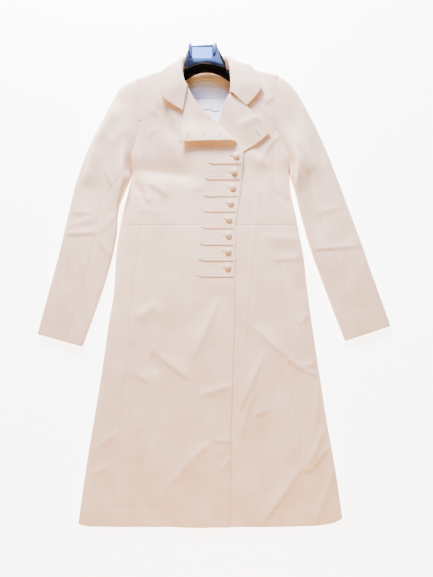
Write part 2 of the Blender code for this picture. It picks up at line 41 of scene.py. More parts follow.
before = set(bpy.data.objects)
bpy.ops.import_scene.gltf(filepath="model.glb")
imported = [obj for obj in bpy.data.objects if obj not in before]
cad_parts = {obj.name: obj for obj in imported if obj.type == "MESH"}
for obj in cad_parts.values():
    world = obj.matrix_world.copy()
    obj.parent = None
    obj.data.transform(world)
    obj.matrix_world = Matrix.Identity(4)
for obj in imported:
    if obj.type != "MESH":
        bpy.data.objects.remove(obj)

MM = 0.001

# Thicknesses of the cloths, the gaps between layers and at seams, and how far the facing stops short of
# the shoulder seam's turn and goes over the neckline
CLOTH = 2.4
LINING = 1.2
FACING = 2.0
LABEL = 1.0
COLLAR_CLOTH = 2.2
TUCK_CLOTH = 1.4
LAYER_GAP = 0.4
LAYER = CLOTH + LAYER_GAP
ARMHOLE_GAP = 0.1
PRESSED_GAP = 0.02
FACING_GAP = 0.8
LINING_GAP = 0.6
LABEL_GAP = 1.3
FACING_SEAM = 0.6
FACING_SHORT = 4.0
FACING_OVER = 3.0

# Places along the coat and across it
WAIST_Y = 124.0
UNDERARM_Y = 243.0
PRINCESS_TOP_RIGHT = 368.0
PRINCESS_TOP_LEFT = 350.0
NECK_RIGHT_X = -82.5
NECK_LEFT_X = 48.0
NECK_CENTRE_X = -20.0
NECKLINE_Y = 500.0
BREAK_Y = 296.0
HEM_SIDE_RIGHT, HEM_PRINCESS_RIGHT, HEM_EDGE = -297, -224, 35
HEM_HIDDEN, HEM_PRINCESS_LEFT, HEM_SIDE_LEFT = -50, 204, 283
LAPEL_RIGHT_LOW, LAPEL_RIGHT_TOP = 317.0, 443.0
LAPEL_LEFT_LOW, LAPEL_LEFT_TOP = 280.5, 428.0
NECK_INSIDE_X = (-72.0, 42.0)
LINING_LOW = 345.0

# The shoulder seams' sleeve ends and slopes
SHOULDER_RIGHT_X, SHOULDER_RIGHT_Y, SHOULDER_RIGHT_SLOPE = -188.0, 468.0, 0.362
SHOULDER_LEFT_X, SHOULDER_LEFT_Y, SHOULDER_LEFT_SLOPE = 154.0, 478.0, 0.262

# The flat coat's thickness
SIDE_SEAM_Z = 5.4
SIDE_ROUND = 15.0
SIDE_FADE = 47.0
SHOULDER_RISE = 33.0
SHOULDER_FALL = 150.0
SHOULDER_TURN = 14.0
SHOULDER_SEAM_Z = 25.0

# The overlap: its width, how far in from its edge the right front starts and stops rising over the left
# one, and between which Y it also starts to lie on the left lapel
OVERLAP = 85.0
OVERLAP_START, OVERLAP_END = 150.0, 88.0
UNDER_LAPEL = (225.0, 270.0)
# How far in under the edge the left front sinks a little, and its ridges fade out
HIDDEN = (2.0, 25.0)
FLATTENED = (-6.0, 16.0)

# The back: how far it is set in under the sleeves and by Y, and how it rises at the neck
BACK_INSET = 1.8
INSET_START = (185.0, 210.0)
INSET_END_RIGHT = (440.0, 466.0)
INSET_END_LEFT = (450.0, 476.0)
BACK_SEAM_DROP = 1.7
NECK_LIFT = 4.0
NECK_RISE = (440.0, 484.0)
NECK_HALF = 95.0
NECK_FADE = 30.0
NECK_DEPTH = 9.0
NECK_CURVE = 62.0

# The edges turned up at the shoulder seams
BACK_LIP = 0.5
SHOULDER_LIP = 2.2
FRONT_LIP = 1.0
FRONT_LIP_SHARE = 0.3

# The lapels' lift off the fronts, more towards the right one's lower edge and the left one's point
LAPEL_LIFT = 3.4
LAPEL_STAND = 10.0
STAND_TOP = 372.0
STAND_EDGE = 12.0
LEFT_STAND = 3.0
LEFT_STAND_EDGE = (8.0, 60.0)

# The sleeves, in shares of their length and of the way round, and their heights at the underarm
BACK_SEAM = 1.66
SLEEVE_GAP = 0.0004
SLEEVE_SWELL = 1.5
SLEEVE_FADE = 1.6
ARMHOLE_BLEND = 0.22
FRONT_BLEND = 0.16
UNDERARM_BLEND = 0.8
UNDERARM_EDGE = 7.0
UNDERARM_TOP = 14.0

# The collar's rounding at its roll line, and the lowest point of its upper face
COLLAR_FOLD = 3.4
COLLAR_LOW = 2.6
COLLAR_STATIONS = 16.0

# How far apart a sheet's points are, about how long and wide the tubes and the collar are, and how near
# to a jog in an outline the rows of points lie
FINE_SPACING = 3.0
TUCK_SPACING = 2.5
BACK_SPACING = 9.0
SLEEVE_LENGTH = 640.0
SLEEVE_GIRTH = 150.0
COLLAR_WIDTH = 110.0
COLLAR_LENGTH = 560.0
JOG_GAP = 0.6
JOG_CLEAR = 2.5

# Distances in from a border at which a sheet has points, so that its edge is round, and the seams' dips
EDGE_STEPS = (0.0, 0.12, 0.45, 1.2, 3.0)
EDGE_ROUND = 0.45
SEAM_DIP = 0.35
SEAM_WIDTH = 3.0

# Creases: the sharp side's share of the width, how far one runs on past its ends, and its form
SHARP = 0.45
CREASE_REACH = 3.0
CREASE_OVERRUN = 0.18
CREASE_FADE = 0.45
CREASE_POWER = 1.6

# Slow waves in the cloth and the lining: lengths along X and Y, a shift of the noise, and a share
WAVES = ((95.0, 150.0, 3.1, 1.0), (34.0, 48.0, 7.7, 0.4))
LINING_RIPPLE = 0.5
RIPPLE_X, RIPPLE_Y, RIPPLE_SHIFT = 13.0, 30.0, 1.7

# Tucks and buttons. A tuck's face lies TUCK_FLUSH over the front at its upper line, and TUCK_RISE more at
# its fold
TUCK_WIDTH = 10.5
TUCK_END = 5.0
TUCK_RISE = 0.4
TUCK_FLUSH = 1.0
TUCK_BOW = 0.12
BUTTON_RADIUS = 7.6
BUTTON_HEIGHT = 5.2
BUTTON_LIFT = 1.0
BUTTON_CUT = 0.25
BUTTON_TURN = 0.7
# Rings under the rim: the share of the ring before, and the move along Z
BUTTON_RINGS = ((0.86, -0.5), (0.7, 0.0), (0.42, 0.2))

# Sewing: threads, stitches and their lift off the cloth, the worked holes, the lines along the tucks and
# the front edge, the arrowheads, the corner tack and the thread loop
THREAD = 0.75
STITCH = 3.4
STITCH_GAP = 1.4
STITCH_LIFT = 0.08
SATIN_THREAD = 0.85
SATIN_PITCH = 0.8
SATIN_LIFT = 0.35
HOLE_REACH = 5.5
HOLE_UNDER, HOLE_SLANT = 2.0, 0.5
HOLE_SIDE = 1.25
HOLE_ROW = 1.5
HOLE_BAR, HOLE_BAR_LENGTH = 4.0, 1.2
# The buttonhole slit is a dark sliver of painted shade: its width, and its lift off the cloth
SLIT_WIDTH = 0.8
SLIT_LIFT = 0.12
LINE_IN, LINE_HIGH, LINE_LOW = 1.0, 1.6, 2.0
EDGE_LINE_Y = (-2.0, 292.0)
ARROW_WIDTH = 11.0
ARROW_POINT = 0.6
ARROW_MIDDLE = 0.45
ARROW_INTO = 0.5
ARROW_LENGTH = 10.5
ARROW_LIFT = 1.1
TACK_WIDTH = 1.6
TACK_LIFT = 0.9
LOOP_THREAD = 0.9
LOOP_LIFT = 0.6

# The hanger's cap: the heights between which each of its parts lies, and its window's pane
BODY_Z = (37.6, 49.0)
SHELL_Z = (48.6, 53.6)
WINDOW_Z = (51.6, 60.0)
HORN_Z = (49.0, 54.0)
PANE_Z = (51.4, 52.2)
PANE_SHARE = 0.96
PANE_MIDDLE = (-29.0, 528.0)
SHARP_ANGLE = math.radians(38.0)

# A wave texture of this scale has bands 1 m apart
WAVE_SCALE = 0.314

# Colours, and in metres the floor, the camera's place and the lamps
WOOL = "#efd3c0"
WOOL_SHADE = "#eec5a0"
WOOL_LIGHT = "#fbdec2"
ROOM_TINT = "#ffca7a"
FLOOR_SIZE = 8.0
FLOOR_DROP = 0.0004
CAMERA_X, CAMERA_Y = 0.005326, -0.128885
CAMERA_REACH = 20.0
LAMPS = [
    # (name, place, target, size, tint, the property with its power)
    ("window_light", (-0.35, 1.75, 0.84), (0.0, 0.1, 0.0), 0.6, "#e6e4ea", "key_power"),
    ("sky_light", (0.0, 1.2, 0.75), (0.0, 0.45, 0.0), 0.7, "#7fa6ff", "sky_power"),
    ("room_light", (0.1, -1.5, 1.15), (0.0, -0.35, 0.0), 0.9, "#ffd6a0", "fill_power")]

# The sizes chosen in the panel, and the materials
CHOSEN = {}
FINISHES = {}

# Worked holes in the lapels: from one end to the other. The last is in the left lapel.
LAPEL_HOLES = [(-62, 337, -62, 327), (-24.5, 336, -24.5, 326), (13.4, 337, 13.4, 327),
               (98, 343, 106, 333)]
LEFT_LAPEL_STITCHING = [(42, 424), (60, 409), (76, 392), (100, 366), (123, 341), (108, 327), (92, 316)]
RIGHT_LAPEL_STITCHING = [(-64, 432), (-67, 392), (-70, 358), (-73, 330)]

# The hanger's cap from above: its black body, glossy shell, window and the horns beside it
CAP_OUTLINE = [
    (-70, 483), (-70.5, 503), (-66, 524), (-60, 540), (-55, 544), (-50, 545), (-5, 544), (3, 547),
    (7, 543), (16, 526), (26, 503), (29, 486), (22, 487), (5, 492), (-15, 498), (-33, 496.5), (-54, 489.5)]
CAP_SHELL = [
    (-67.5, 485), (-66.5, 506), (-60, 538), (-57, 543), (4, 545), (7, 540), (14.5, 511), (24, 489),
    (12, 491.5), (-2, 496), (-28, 498.5), (-46, 494), (-54, 490)]
CAP_WINDOW = [(-52, 540), (-52, 515), (-50.5, 511), (-47, 509.5), (-9, 509.5), (-5.5, 511), (-4, 515),
              (-4, 540)]
CAP_HORN_LEFT = [(-59, 512), (-61, 530), (-60.5, 543), (-57.5, 549), (-54, 548), (-52.5, 540), (-53.5, 520),
                 (-51, 511), (-55, 508)]
CAP_HORN_RIGHT = [(-3, 514), (-3.5, 530), (-2.5, 545), (1, 551), (5, 549), (7.5, 541), (6, 526), (2, 513)]

# Tucks and buttons from the top down: the left end of the tuck, its lower edge, and the button's centre
FASTENING_COLUMNS = ("tuck_x", "tuck_y", "button_x", "button_y")
FASTENINGS = [dict(zip(FASTENING_COLUMNS, row)) for row in [
    (-3, 266, 51, 286), (-12, 230, 46, 250), (-15, 190, 43, 213), (-17, 153, 38, 176),
    (-21, 114, 34, 138), (-24, 75, 33, 100), (-26, 38, 32, 62), (-30, 1, 31, 25)]]

# Sleeves: how far down, the outer edge, the inner edge, and the heights of its top and of its edges
SLEEVE_COLUMNS = ("down", "outer_x", "outer_y", "inner_x", "inner_y", "top", "edge")
SLEEVE_RIGHT = [
    (0.00, -188.5, 469, -196.5, 243, 46, 23.5),
    (0.06, -220, 448, -200, 232, 44, 23),
    (0.12, -239, 417, -204, 221, 41, 21),
    (0.18, -255, 387, -208, 211, 37, 19),
    (0.24, -270, 358, -212, 201, 33, 17),
    (0.31, -286, 328, -216, 190, 29, 15),
    (0.38, -299, 299, -220, 178, 26, 13),
    (0.45, -310, 270, -224, 163, 23, 12),
    (0.53, -325, 220, -226, 140, 21, 11),
    (0.62, -339, 155, -228, 100, 19, 10),
    (0.72, -354, 80, -236, 52, 17, 9),
    (0.81, -370, 8, -249, -2, 15, 8),
    (0.90, -386, -58, -267, -62, 13.5, 7),
    (1.00, -403, -129, -299, -158, 11, 5.8)]
SLEEVE_LEFT = [
    (0.00, 154.5, 479, 179.5, 243, 46, 23.5),
    (0.06, 187, 448, 184, 230, 44, 23),
    (0.12, 207, 417, 187, 218, 41, 21),
    (0.18, 223, 387, 190, 206, 37, 19),
    (0.24, 238, 358, 193, 194, 33, 17),
    (0.31, 252, 328, 196, 180, 29, 15),
    (0.38, 266, 296, 200, 162, 26, 13),
    (0.45, 279, 262, 205, 140, 23, 12),
    (0.53, 294, 220, 212, 112, 21, 11),
    (0.62, 316, 155, 222, 74, 19, 10),
    (0.72, 341, 82, 236, 30, 17, 9),
    (0.81, 362, 14, 252, -16, 15, 8),
    (0.90, 382, -46, 270, -68, 13.5, 7),
    (1.00, 403, -111, 298, -145, 11, 5.8)]

# Main folds: from one point to another, how wide and how high. A trough has a height under zero.
FOLD_COLUMNS = ("x0", "y0", "x1", "y1", "width", "height")
FOLDS = [dict(zip(FOLD_COLUMNS, row)) for row in [
    (-47, -187, 11, -51, 24, 3.0),
    (-127, -175, -55, -230, 22, 3.2),
    (-141, -170, -129, -222, 18, -2.6),
    (-47, -187, -10, -330, 20, -2.6),
    (-34, -263, 37, -241, 20, 2.4),
    (-9, -365, -95, -454, 24, 3.0),
    (-180, -295, -164, -400, 22, 2.6),
    (79, -104, 189, -203, 24, 3.0),
    (113, -176, 58, -295, 24, 2.8),
    (247, -329, 205, -420, 20, 2.6),
    (193, -419, 104, -540, 24, 3.0),
    (-150, 262, -60, 250, 26, -3.0),
    (-190, 235, -170, 180, 22, -3.0),
    (150, 66, 205, 70, 24, -2.6),
]]

# Creases that show in the cloth: from one point to another, how wide on the soft side and how high.
# The other side of the crest is SHARP times as wide. A trough has a height under zero.
CREASES = [dict(zip(FOLD_COLUMNS, row)) for row in [
    # The right skirt, from the waist down
    (-47, -187, 11, -51, 12, 1.6), (-47, -187, -55, -120, 10, 1.2), (-127, -175, -55, -230, 11, 1.7),
    (-141, -175, -131, -216, 8, -1.6), (-178, -216, -149, -237, 10, 1.4), (-48, -192, -39, -234, 7, 1.3),
    (-39, -234, -14, -315, 8, 1.2), (-14, -315, -5, -363, 7, 1.0), (37, -241, -34, -263, 9, 1.4),
    (-5, -363, 36, -365, 7, 1.1), (-9, -365, -54, -403, 9, 1.5), (-54, -403, -95, -454, 10, 1.3),
    (-114, -315, -129, -371, 9, 1.1), (-113, -376, -99, -490, 11, 1.2), (-180, -295, -158, -348, 10, 1.3),
    (-158, -348, -166, -408, 10, 1.1), (-216, -343, -257, -376, 9, 1.2), (-236, -416, -269, -435, 8, 1.1),
    (36, -399, 11, -427, 7, 1.0), (-160, -30, -120, -95, 14, 0.9), (-95, 20, -70, -90, 16, 0.8),
    # The left skirt
    (79, -104, 167, -183, 10, 1.5), (167, -183, 189, -203, 8, 1.3), (189, -203, 234, -196, 7, 1.3),
    (189, -203, 234, -225, 7, 1.2), (58, -295, 113, -176, 10, 1.6), (60, -356, 89, -254, 8, 1.1),
    (87, -311, 120, -298, 8, 1.0), (247, -329, 205, -420, 9, 1.6), (193, -425, 217, -429, 6, 1.2),
    (104, -540, 193, -419, 11, 1.7), (217, -422, 259, -371, 8, 1.4), (267, -416, 218, -540, 9, 1.3),
    (234, -230, 223, -339, 8, 1.1), (196, -106, 217, -83, 8, 1.2), (140, 42, 206, 46, 10, 1.3),
    (204, 90, 118, 96, 18, 1.7), (95, 30, 90, -90, 12, 0.8),
    (-182, -53, -191, -153, 16, 2.0), (-135, -60, -175, -92, 18, 2.2),
    # The lapels
    (-50, 365, -66, 440, 14, -1.6), (112, 376, 30, 352, 14, 1.6),
    # The pressed line down the left front
    (105, 232, 95, 124, 6, 0.9), (95, 124, 85, 65, 6, 0.8), (85, 65, 73, -65, 6, 0.9),
    (73, -65, 69, -149, 6, 0.8), (69, -149, 62, -254, 6, 0.7), (62, -254, 53, -334, 6, 0.7),
    (53, -334, 48, -415, 6, 0.6),
    # The bodice, under the bust and round the underarms
    (-175, 256, -45, 240, 30, -5.2), (-95, 330, -125, 400, 20, -2.6), (-155, 225, -110, 195, 12, 2.2),
    (-188, 228, -168, 178, 9, -2.4),
    (-172, 232, -150, 170, 9, 2.2), (-130, 230, -118, 180, 11, 1.6), (-95, 240, -88, 180, 12, -1.0),
    (-190, 196, -150, 182, 8, 1.2), (-176, 160, -120, 150, 12, 0.8), (-60, 205, -25, 215, 10, 0.8),
    (-150, 395, -120, 372, 12, 1.0), (-160, 330, -132, 352, 10, 0.7), (-120, 330, -95, 300, 12, 0.7),
    (118, 300, 160, 340, 10, 1.1), (105, 262, 128, 310, 11, 0.9), (120, 240, 128, 180, 11, 0.9),
    (140, 200, 176, 172, 9, -1.2), (150, 236, 172, 190, 9, 1.1), (112, 400, 128, 372, 8, 1.0),
    (100, 440, 122, 408, 9, 0.8), (118, 405, 138, 420, 6, 0.9),
    # The right sleeve
    (-343, 100, -273, 105, 6, 1.9), (-274, 142, -339, 119, 9, 1.4), (-333, 151, -274, 148, 9, 1.2),
    (-223, 151, -273, 103, 9, 1.5), (-271, 96, -239, 45, 9, 1.3),
    (-224, 398, -276, 312, 27, 5.6), (-276, 312, -302, 222, 25, 5.0),
    (-239, 306, -196, 352, 12, 1.6), (-300, 40, -322, 5, 10, 0.8), (-330, -20, -345, -70, 11, 0.7),
    (-214, 330, -222, 220, 9, -1.2), (-255, 255, -232, 205, 9, 1.2),
    # The left sleeve
    (230, 65, 341, 74, 6, 1.8), (313, 86, 339, 86, 7, 1.1), (196, 282, 224, 243, 10, 2.4),
    (182, 330, 236, 250, 13, 2.6), (176, 380, 205, 300, 11, -1.4), (258, 100, 218, 240, 26, -3.4),
    (128, 262, 70, 300, 24, 2.6), (262, 300, 286, 205, 12, 1.0),
    (240, 150, 300, 165, 10, 0.9), (252, 60, 270, 10, 10, 0.9), (318, 10, 335, -40, 11, 0.8),
    (200, 400, 240, 340, 12, 0.9)]]

# Seams, darts and pressed hems inside a panel, as narrow grooves
GROOVES = [dict(zip(FOLD_COLUMNS, row)) for row in [
    (-139, 466, -112, 391, 2.0, -1.0), (-112, 391, -78, 320, 2.0, -1.1),
    (-119, 124, -109, 71, 2.0, -0.9), (-290, -506, 35, -511, 2.4, -0.5), (35, -511, 280, -500, 2.4, -0.5),
    (-385, -77, -279, -85, 2.2, -0.5), (378, -62, 275, -88, 2.2, -0.5)]]

# Each cloth piece's flat cut in metres and square metres, and what it lies on
CUT_COLUMNS = ("width", "length", "area", "on")
CUTS = {name: dict(zip(CUT_COLUMNS, row)) for name, *row in [
    ("back_bodice", 0.417, 0.400, 0.1365, ()),
    ("back_skirt", 0.580, 0.674, 0.3346, ()),
    ("front_right_bodice", 0.235, 0.463, 0.0722, ("front_left_bodice", "back_bodice")),
    ("front_left_bodice", 0.181, 0.418, 0.0546, ("back_bodice",)),
    ("side_right_bodice", 0.052, 0.252, 0.0086, ("back_bodice",)),
    ("side_left_bodice", 0.050, 0.236, 0.0088, ("back_bodice",)),
    ("front_right_skirt", 0.259, 0.675, 0.1656, ("front_left_skirt", "back_skirt")),
    ("front_left_skirt", 0.254, 0.674, 0.148, ("back_skirt",)),
    ("side_right_skirt", 0.073, 0.674, 0.0391, ("back_skirt",)),
    ("side_left_skirt", 0.080, 0.674, 0.0447, ("back_skirt",)),
    ("sleeve_top_right", 0.309, 0.655, 0.0806, ("sleeve_under_right",)),
    ("sleeve_under_right", 0.198, 0.595, 0.0667, ()),
    ("sleeve_top_left", 0.325, 0.658, 0.0781, ("sleeve_under_left",)),
    ("sleeve_under_left", 0.205, 0.595, 0.0627, ()),
    ("lapel_right", 0.137, 0.173, 0.0084, ("front_right_bodice",)),
    ("lapel_left", 0.129, 0.264, 0.0126, ("front_left_bodice",)),
    ("collar", 0.094, 0.508, 0.0277, ("front_right_bodice", "front_left_bodice")),
    ("neck_facing", 0.135, 0.046, 0.0032, ("back_bodice",)),
    ("lining", 0.135, 0.139, 0.0146, ("back_bodice",)),
    ("neck_label", 0.0686, 0.0277, None, ("lining",)),
    ("care_label_1", 0.0271, 0.0275, None, ("lining",)),
    ("care_label_2", 0.0161, 0.0315, None, ("lining",)),
]}
TUCK_CUT_WIDTHS = (0.0656, 0.0727, 0.0712, 0.0675, 0.0671, 0.0686, 0.0701, 0.0734)
CUTS.update({f"tuck_{number}": {"width": width, "length": 0.0106, "area": None,
                                "on": ("front_right_bodice",)}
             for number, width in enumerate(TUCK_CUT_WIDTHS, 1)})


def smooth(share):
    share = min(1.0, max(0.0, share))
    return share * share * (3.0 - 2.0 * share)


def ramp(value, start, end):
    return smooth((value - start) / (end - start))


def straight(rows):
    """The values between a table's rows, in straight lines. The first column rises down the table."""
    def at(key):
        key = min(max(key, rows[0][0]), rows[-1][0])
        for low, high in zip(rows, rows[1:]):
            if key <= high[0]:
                share = (key - low[0]) / (high[0] - low[0])
                return [a + (b - a) * share for a, b in zip(low[1:], high[1:])]
    return at


def curved(rows):
    """The values between a table's rows, on a smooth line through them."""
    count = len(rows)

    def slope(i, column):
        low, high = rows[max(i - 1, 0)], rows[min(i + 1, count - 1)]
        return (high[column] - low[column]) / (high[0] - low[0])

    def at(key):
        key = min(max(key, rows[0][0]), rows[-1][0])
        i = max(j for j in range(count - 1) if rows[j][0] <= key)
        low, high = rows[i], rows[i + 1]
        span = high[0] - low[0]
        t = (key - low[0]) / span
        out = []
        for column in range(1, len(low)):
            a, b = low[column], high[column]
            da, db = slope(i, column) * span, slope(i + 1, column) * span
            out.append(a + t * (da + t * (3 * (b - a) - 2 * da - db + t * (da + db - 2 * (b - a)))))
        return out
    return at


def single(table):
    return lambda key: table(key)[0]


# Outlines seen from above, each a table of (y, x), or of (y, left x, right x)
SIDE_SEAMS = curved([
    (-548, -297, 283), (-517, -294, 280), (-416, -283, 267), (-312, -268, 251), (-206, -254, 237),
    (-97, -241, 223), (-42, -233, 217), (43, -230, 209), (99, -225, 200), (157, -215, 191),
    (200, -205, 182), (243, -196, 179)])
ARMHOLE_RIGHT = single(curved([
    (243, -196), (265, -198), (293, -193), (323, -185), (352, -178), (384, -176), (432, -176),
    (455, -181), (470, -188)]))
ARMHOLE_LEFT = single(curved([
    (243, 179), (270, 177), (298, 171), (323, 159), (352, 147), (384, 142), (430, 140),
    (461, 145), (480, 154)]))
PRINCESS_RIGHT = single(curved([
    (-548, -224), (-435, -218), (-335, -211), (-254, -205), (-142, -196), (-65, -191), (20, -182),
    (124, -170), (170, -166), (299, -165), (350, -170), (368, -172)]))
PRINCESS_LEFT = single(curved([
    (-548, 204), (-476, 197), (-335, 187), (-274, 177), (-201, 171), (-86, 165), (20, 155),
    (124, 147), (172, 143), (260, 139), (320, 140), (350, 143)]))
FRONT_EDGE = single(curved([
    (-548, 35), (-435, 36), (-274, 40), (-108, 46), (41, 49), (124, 51), (182, 58), (213, 63),
    (260, 67), (296, 68)]))
ROLL_RIGHT_ROWS = [
    (296, 68), (303, 64.5), (311, 60), (319, 52), (331, 39), (343, 27), (365, 2), (394, -29), (416, -47)]
ROLL_LEFT_ROWS = [
    (124, -34), (270, -18), (278, -8), (310, -4), (340, 2), (368, 9), (392, 18), (414, 27)]
ROLL_RIGHT = single(straight(ROLL_RIGHT_ROWS + [(444, -62)]))
ROLL_LEFT = single(straight(ROLL_LEFT_ROWS + [(430, 35)]))
# The fronts' inner edges go on from the roll lines, round the collar's stand, to the shoulder seam
INNER_RIGHT = single(straight(ROLL_RIGHT_ROWS + [
    (428, -56), (436, -73), (446, -80), (456, NECK_RIGHT_X), (520, NECK_RIGHT_X)]))
INNER_LEFT = single(straight(ROLL_LEFT_ROWS + [
    (417, 33), (423, 43), (436, 47.5), (446, NECK_LEFT_X), (520, NECK_LEFT_X)]))
# The hem and, further down, the lower edge of the neck facing: (x, y)
HEM_CURVE = single(curved([
    (-297, -541), (-271, -546), (35, -548), (194, -546), (256, -541), (283, -531)]))
LAPEL_RIGHT_EDGE = single(straight([(316, -80), (321, -77), (358, -74), (392, -71.5), (444, -63)]))
LAPEL_LEFT_EDGE = single(straight([
    (280, 10), (285, 35), (296, 68), (316, 101), (326, 115), (341, 131), (372, 103), (401, 74),
    (417, 58), (430, 36)]))
# Labels: name, then left and right along X and low and high along Y
LABELS = [("neck_label", -54, 15, 438.5, 466), ("care_label_1", -34, -6.5, 410, 437.5),
          ("care_label_2", -5.5, 11, 406, 437.5)]
FACING_EDGE = single(curved([
    (-84, 450), (-59, 472), (-45, 479), (-28, 483.5), (-10, 483), (11, 471.5), (21, 463), (33, 450),
    (62, 430)]))
# How high the fronts lie over the ground, by Y, before folds and the hanger raise them
LYING = single(curved([(-548, 8.0), (-300, 10.5), (0, 12.5), (124, 13.0), (300, 14.5), (520, 14.5)]))
# Where the seam lies across the upper face, from 0 at the outer edge to 1 at the inner edge
SLEEVE_SEAM = single(curved([(0.0, 0.93), (0.3, 0.80), (0.55, 0.62), (0.75, 0.60), (1.0, 0.64)]))
# The collar from its right gorge seam, round the back of the neck, to its left gorge seam:
# the neck seam, the roll line and the outer edge
COLLAR_SECTIONS = curved([
    # (place, seam x, y, z, roll x, y, z, edge x, y, z)
    (0.0, -68, 438, 35.5, -63.5, 446, 46.5, -73.5, 391, 37.0),
    (1.0, -73, 446, 35.5, -67.5, 451, 48.5, -98, 404, 42.5),
    (2.0, -77, 457, 37, -71, 458, 50, -120, 418, 49.5),
    (3.0, -79, 471, 39, -74, 471, 51, -124, 440, 53),
    (4.0, -79.5, 487, 38, -75.5, 489, 51, -123, 462, 53),
    (5.0, -79, 501, 31, -76, 507, 46.5, -116, 485, 50),
    (6.0, -74, 508, 20, -74, 524, 35, -103, 507, 21),
    (7.0, -56, 510, 12, -62, 537, 16, -74, 511, 3.4),
    (8.0, -20, 504, 9.5, -20, 542, 5.5, -20, 489, 2.7),
    (9.0, 16, 510, 12, 14, 539, 15, 34, 511, 3.4),
    (10.0, 36, 506, 20, 29, 526, 35, 62, 509, 21),
    (11.0, 44.5, 498, 31, 34, 508, 46.5, 82, 494, 49),
    (12.0, 45, 483, 38, 37, 490, 51, 97, 474, 53),
    (13.0, 44.5, 468, 39, 39, 470, 51, 107, 454, 54),
    (14.0, 43.5, 454, 37, 39.5, 452, 50, 111, 440, 53.5),
    (15.0, 41.5, 440, 36, 39.5, 440, 48.5, 93, 417, 47),
    (16.0, 39, 429, 35.5, 38, 431, 46.5, 75, 400, 42)])


def folds(x, y):
    total = 0.0
    for fold in FOLDS:
        run = Vector((fold["x1"] - fold["x0"], fold["y1"] - fold["y0"]))
        place = Vector((x - fold["x0"], y - fold["y0"]))
        along = place.dot(run) / run.length_squared
        aside = abs(place.cross(run)) / run.length
        ends = smooth(1.0 - abs(along - 0.5) * 1.6)
        total += fold["height"] * math.exp(-(aside / fold["width"]) ** 2) * ends
    return total


def shoulder_line(x):
    """Where the shoulder seam is along Y."""
    if x < NECK_CENTRE_X:
        return SHOULDER_RIGHT_Y + (x - SHOULDER_RIGHT_X) * SHOULDER_RIGHT_SLOPE
    return SHOULDER_LEFT_Y + (SHOULDER_LEFT_X - x) * SHOULDER_LEFT_SLOPE


def turned(down):
    """From 0 on the shoulder seam to 1 where the cloth lies over the hanger."""
    share = min(1.0, max(0.0, down / SHOULDER_TURN))
    return math.sqrt(1.0 - (1.0 - share) ** 2)


def laid_height(x, y, creased):
    """The upper face of the fronts: low at the side seams and raised over the hanger."""
    down = shoulder_line(x) - y
    body = LYING(y) + SHOULDER_RISE * math.exp(-(max(down, 0.0) / SHOULDER_FALL) ** 2)
    side_left, side_right = SIDE_SEAMS(y)
    inside = max(0.0, min(x - side_left, side_right - x))
    plump = 1.0 - math.exp(-inside / SIDE_ROUND)
    plump += (1.0 - plump) * ramp(y, UNDERARM_Y, UNDERARM_Y + SIDE_FADE)
    body += creased * plump
    body = SIDE_SEAM_Z + (body - SIDE_SEAM_Z) * plump
    return SHOULDER_SEAM_Z + (body - SHOULDER_SEAM_Z) * turned(down)


def right_front_height(x, y):
    """The right front also lies over the left front and, higher up, over the left lapel."""
    edge = FRONT_EDGE(y)
    under = LAYER + (LAPEL_LIFT + LAYER_GAP) * ramp(y, *UNDER_LAPEL)
    return laid_height(x, y, folds(x, y)) + under * ramp(x, edge - OVERLAP_START, edge - OVERLAP_END)


def left_front_height(x, y):
    """The left front lies a little lower where the right front covers it."""
    hidden = ramp(FRONT_EDGE(y) - x, *HIDDEN)
    creased = folds(x, y)
    creased += (min(creased, 0.0) - creased) * hidden
    return laid_height(x, y, creased) - LAYER_GAP * hidden


def back_height(x, y):
    """The underside of the back: flat on the ground, and turned up at the shoulders and the neck."""
    down = shoulder_line(x) - y
    neck = ramp(y, *NECK_RISE) * ramp(NECK_HALF - abs(x - NECK_CENTRE_X), 0.0, NECK_FADE)
    seam = SHOULDER_SEAM_Z - BACK_SEAM_DROP
    return max(seam * (1.0 - turned(down)), NECK_LIFT * neck)


def on(height):
    """A surface over the plan, given by its height at (x, y)."""
    return lambda x, y: Vector((x, y, height(x, y)))


def steps(count, low=0.0, high=1.0):
    return [low + (high - low) * i / count for i in range(count + 1)]


def level(y):
    return lambda u: y


def side_left(y):
    """The right side seam and, above the underarm, the right armhole."""
    return ARMHOLE_RIGHT(y) if y > UNDERARM_Y else SIDE_SEAMS(y)[0]


def side_right(y):
    return ARMHOLE_LEFT(y) if y > UNDERARM_Y else SIDE_SEAMS(y)[1]


def hem_between(left_x, right_x):
    return lambda u: HEM_CURVE(left_x + (right_x - left_x) * u)


def shoulder_between(left_x, right_x):
    return lambda u: shoulder_line(left_x + (right_x - left_x) * u)


def princess_or_armhole_right(y):
    return PRINCESS_RIGHT(y) if y < PRINCESS_TOP_RIGHT else ARMHOLE_RIGHT(y)


def princess_or_armhole_left(y):
    return PRINCESS_LEFT(y) if y < PRINCESS_TOP_LEFT else ARMHOLE_LEFT(y)


def roll_or_edge_right(y):
    return FRONT_EDGE(y) if y < BREAK_Y else INNER_RIGHT(y)


def hidden_left_edge(y):
    return FRONT_EDGE(y) - OVERLAP if y < WAIST_Y else INNER_LEFT(y)


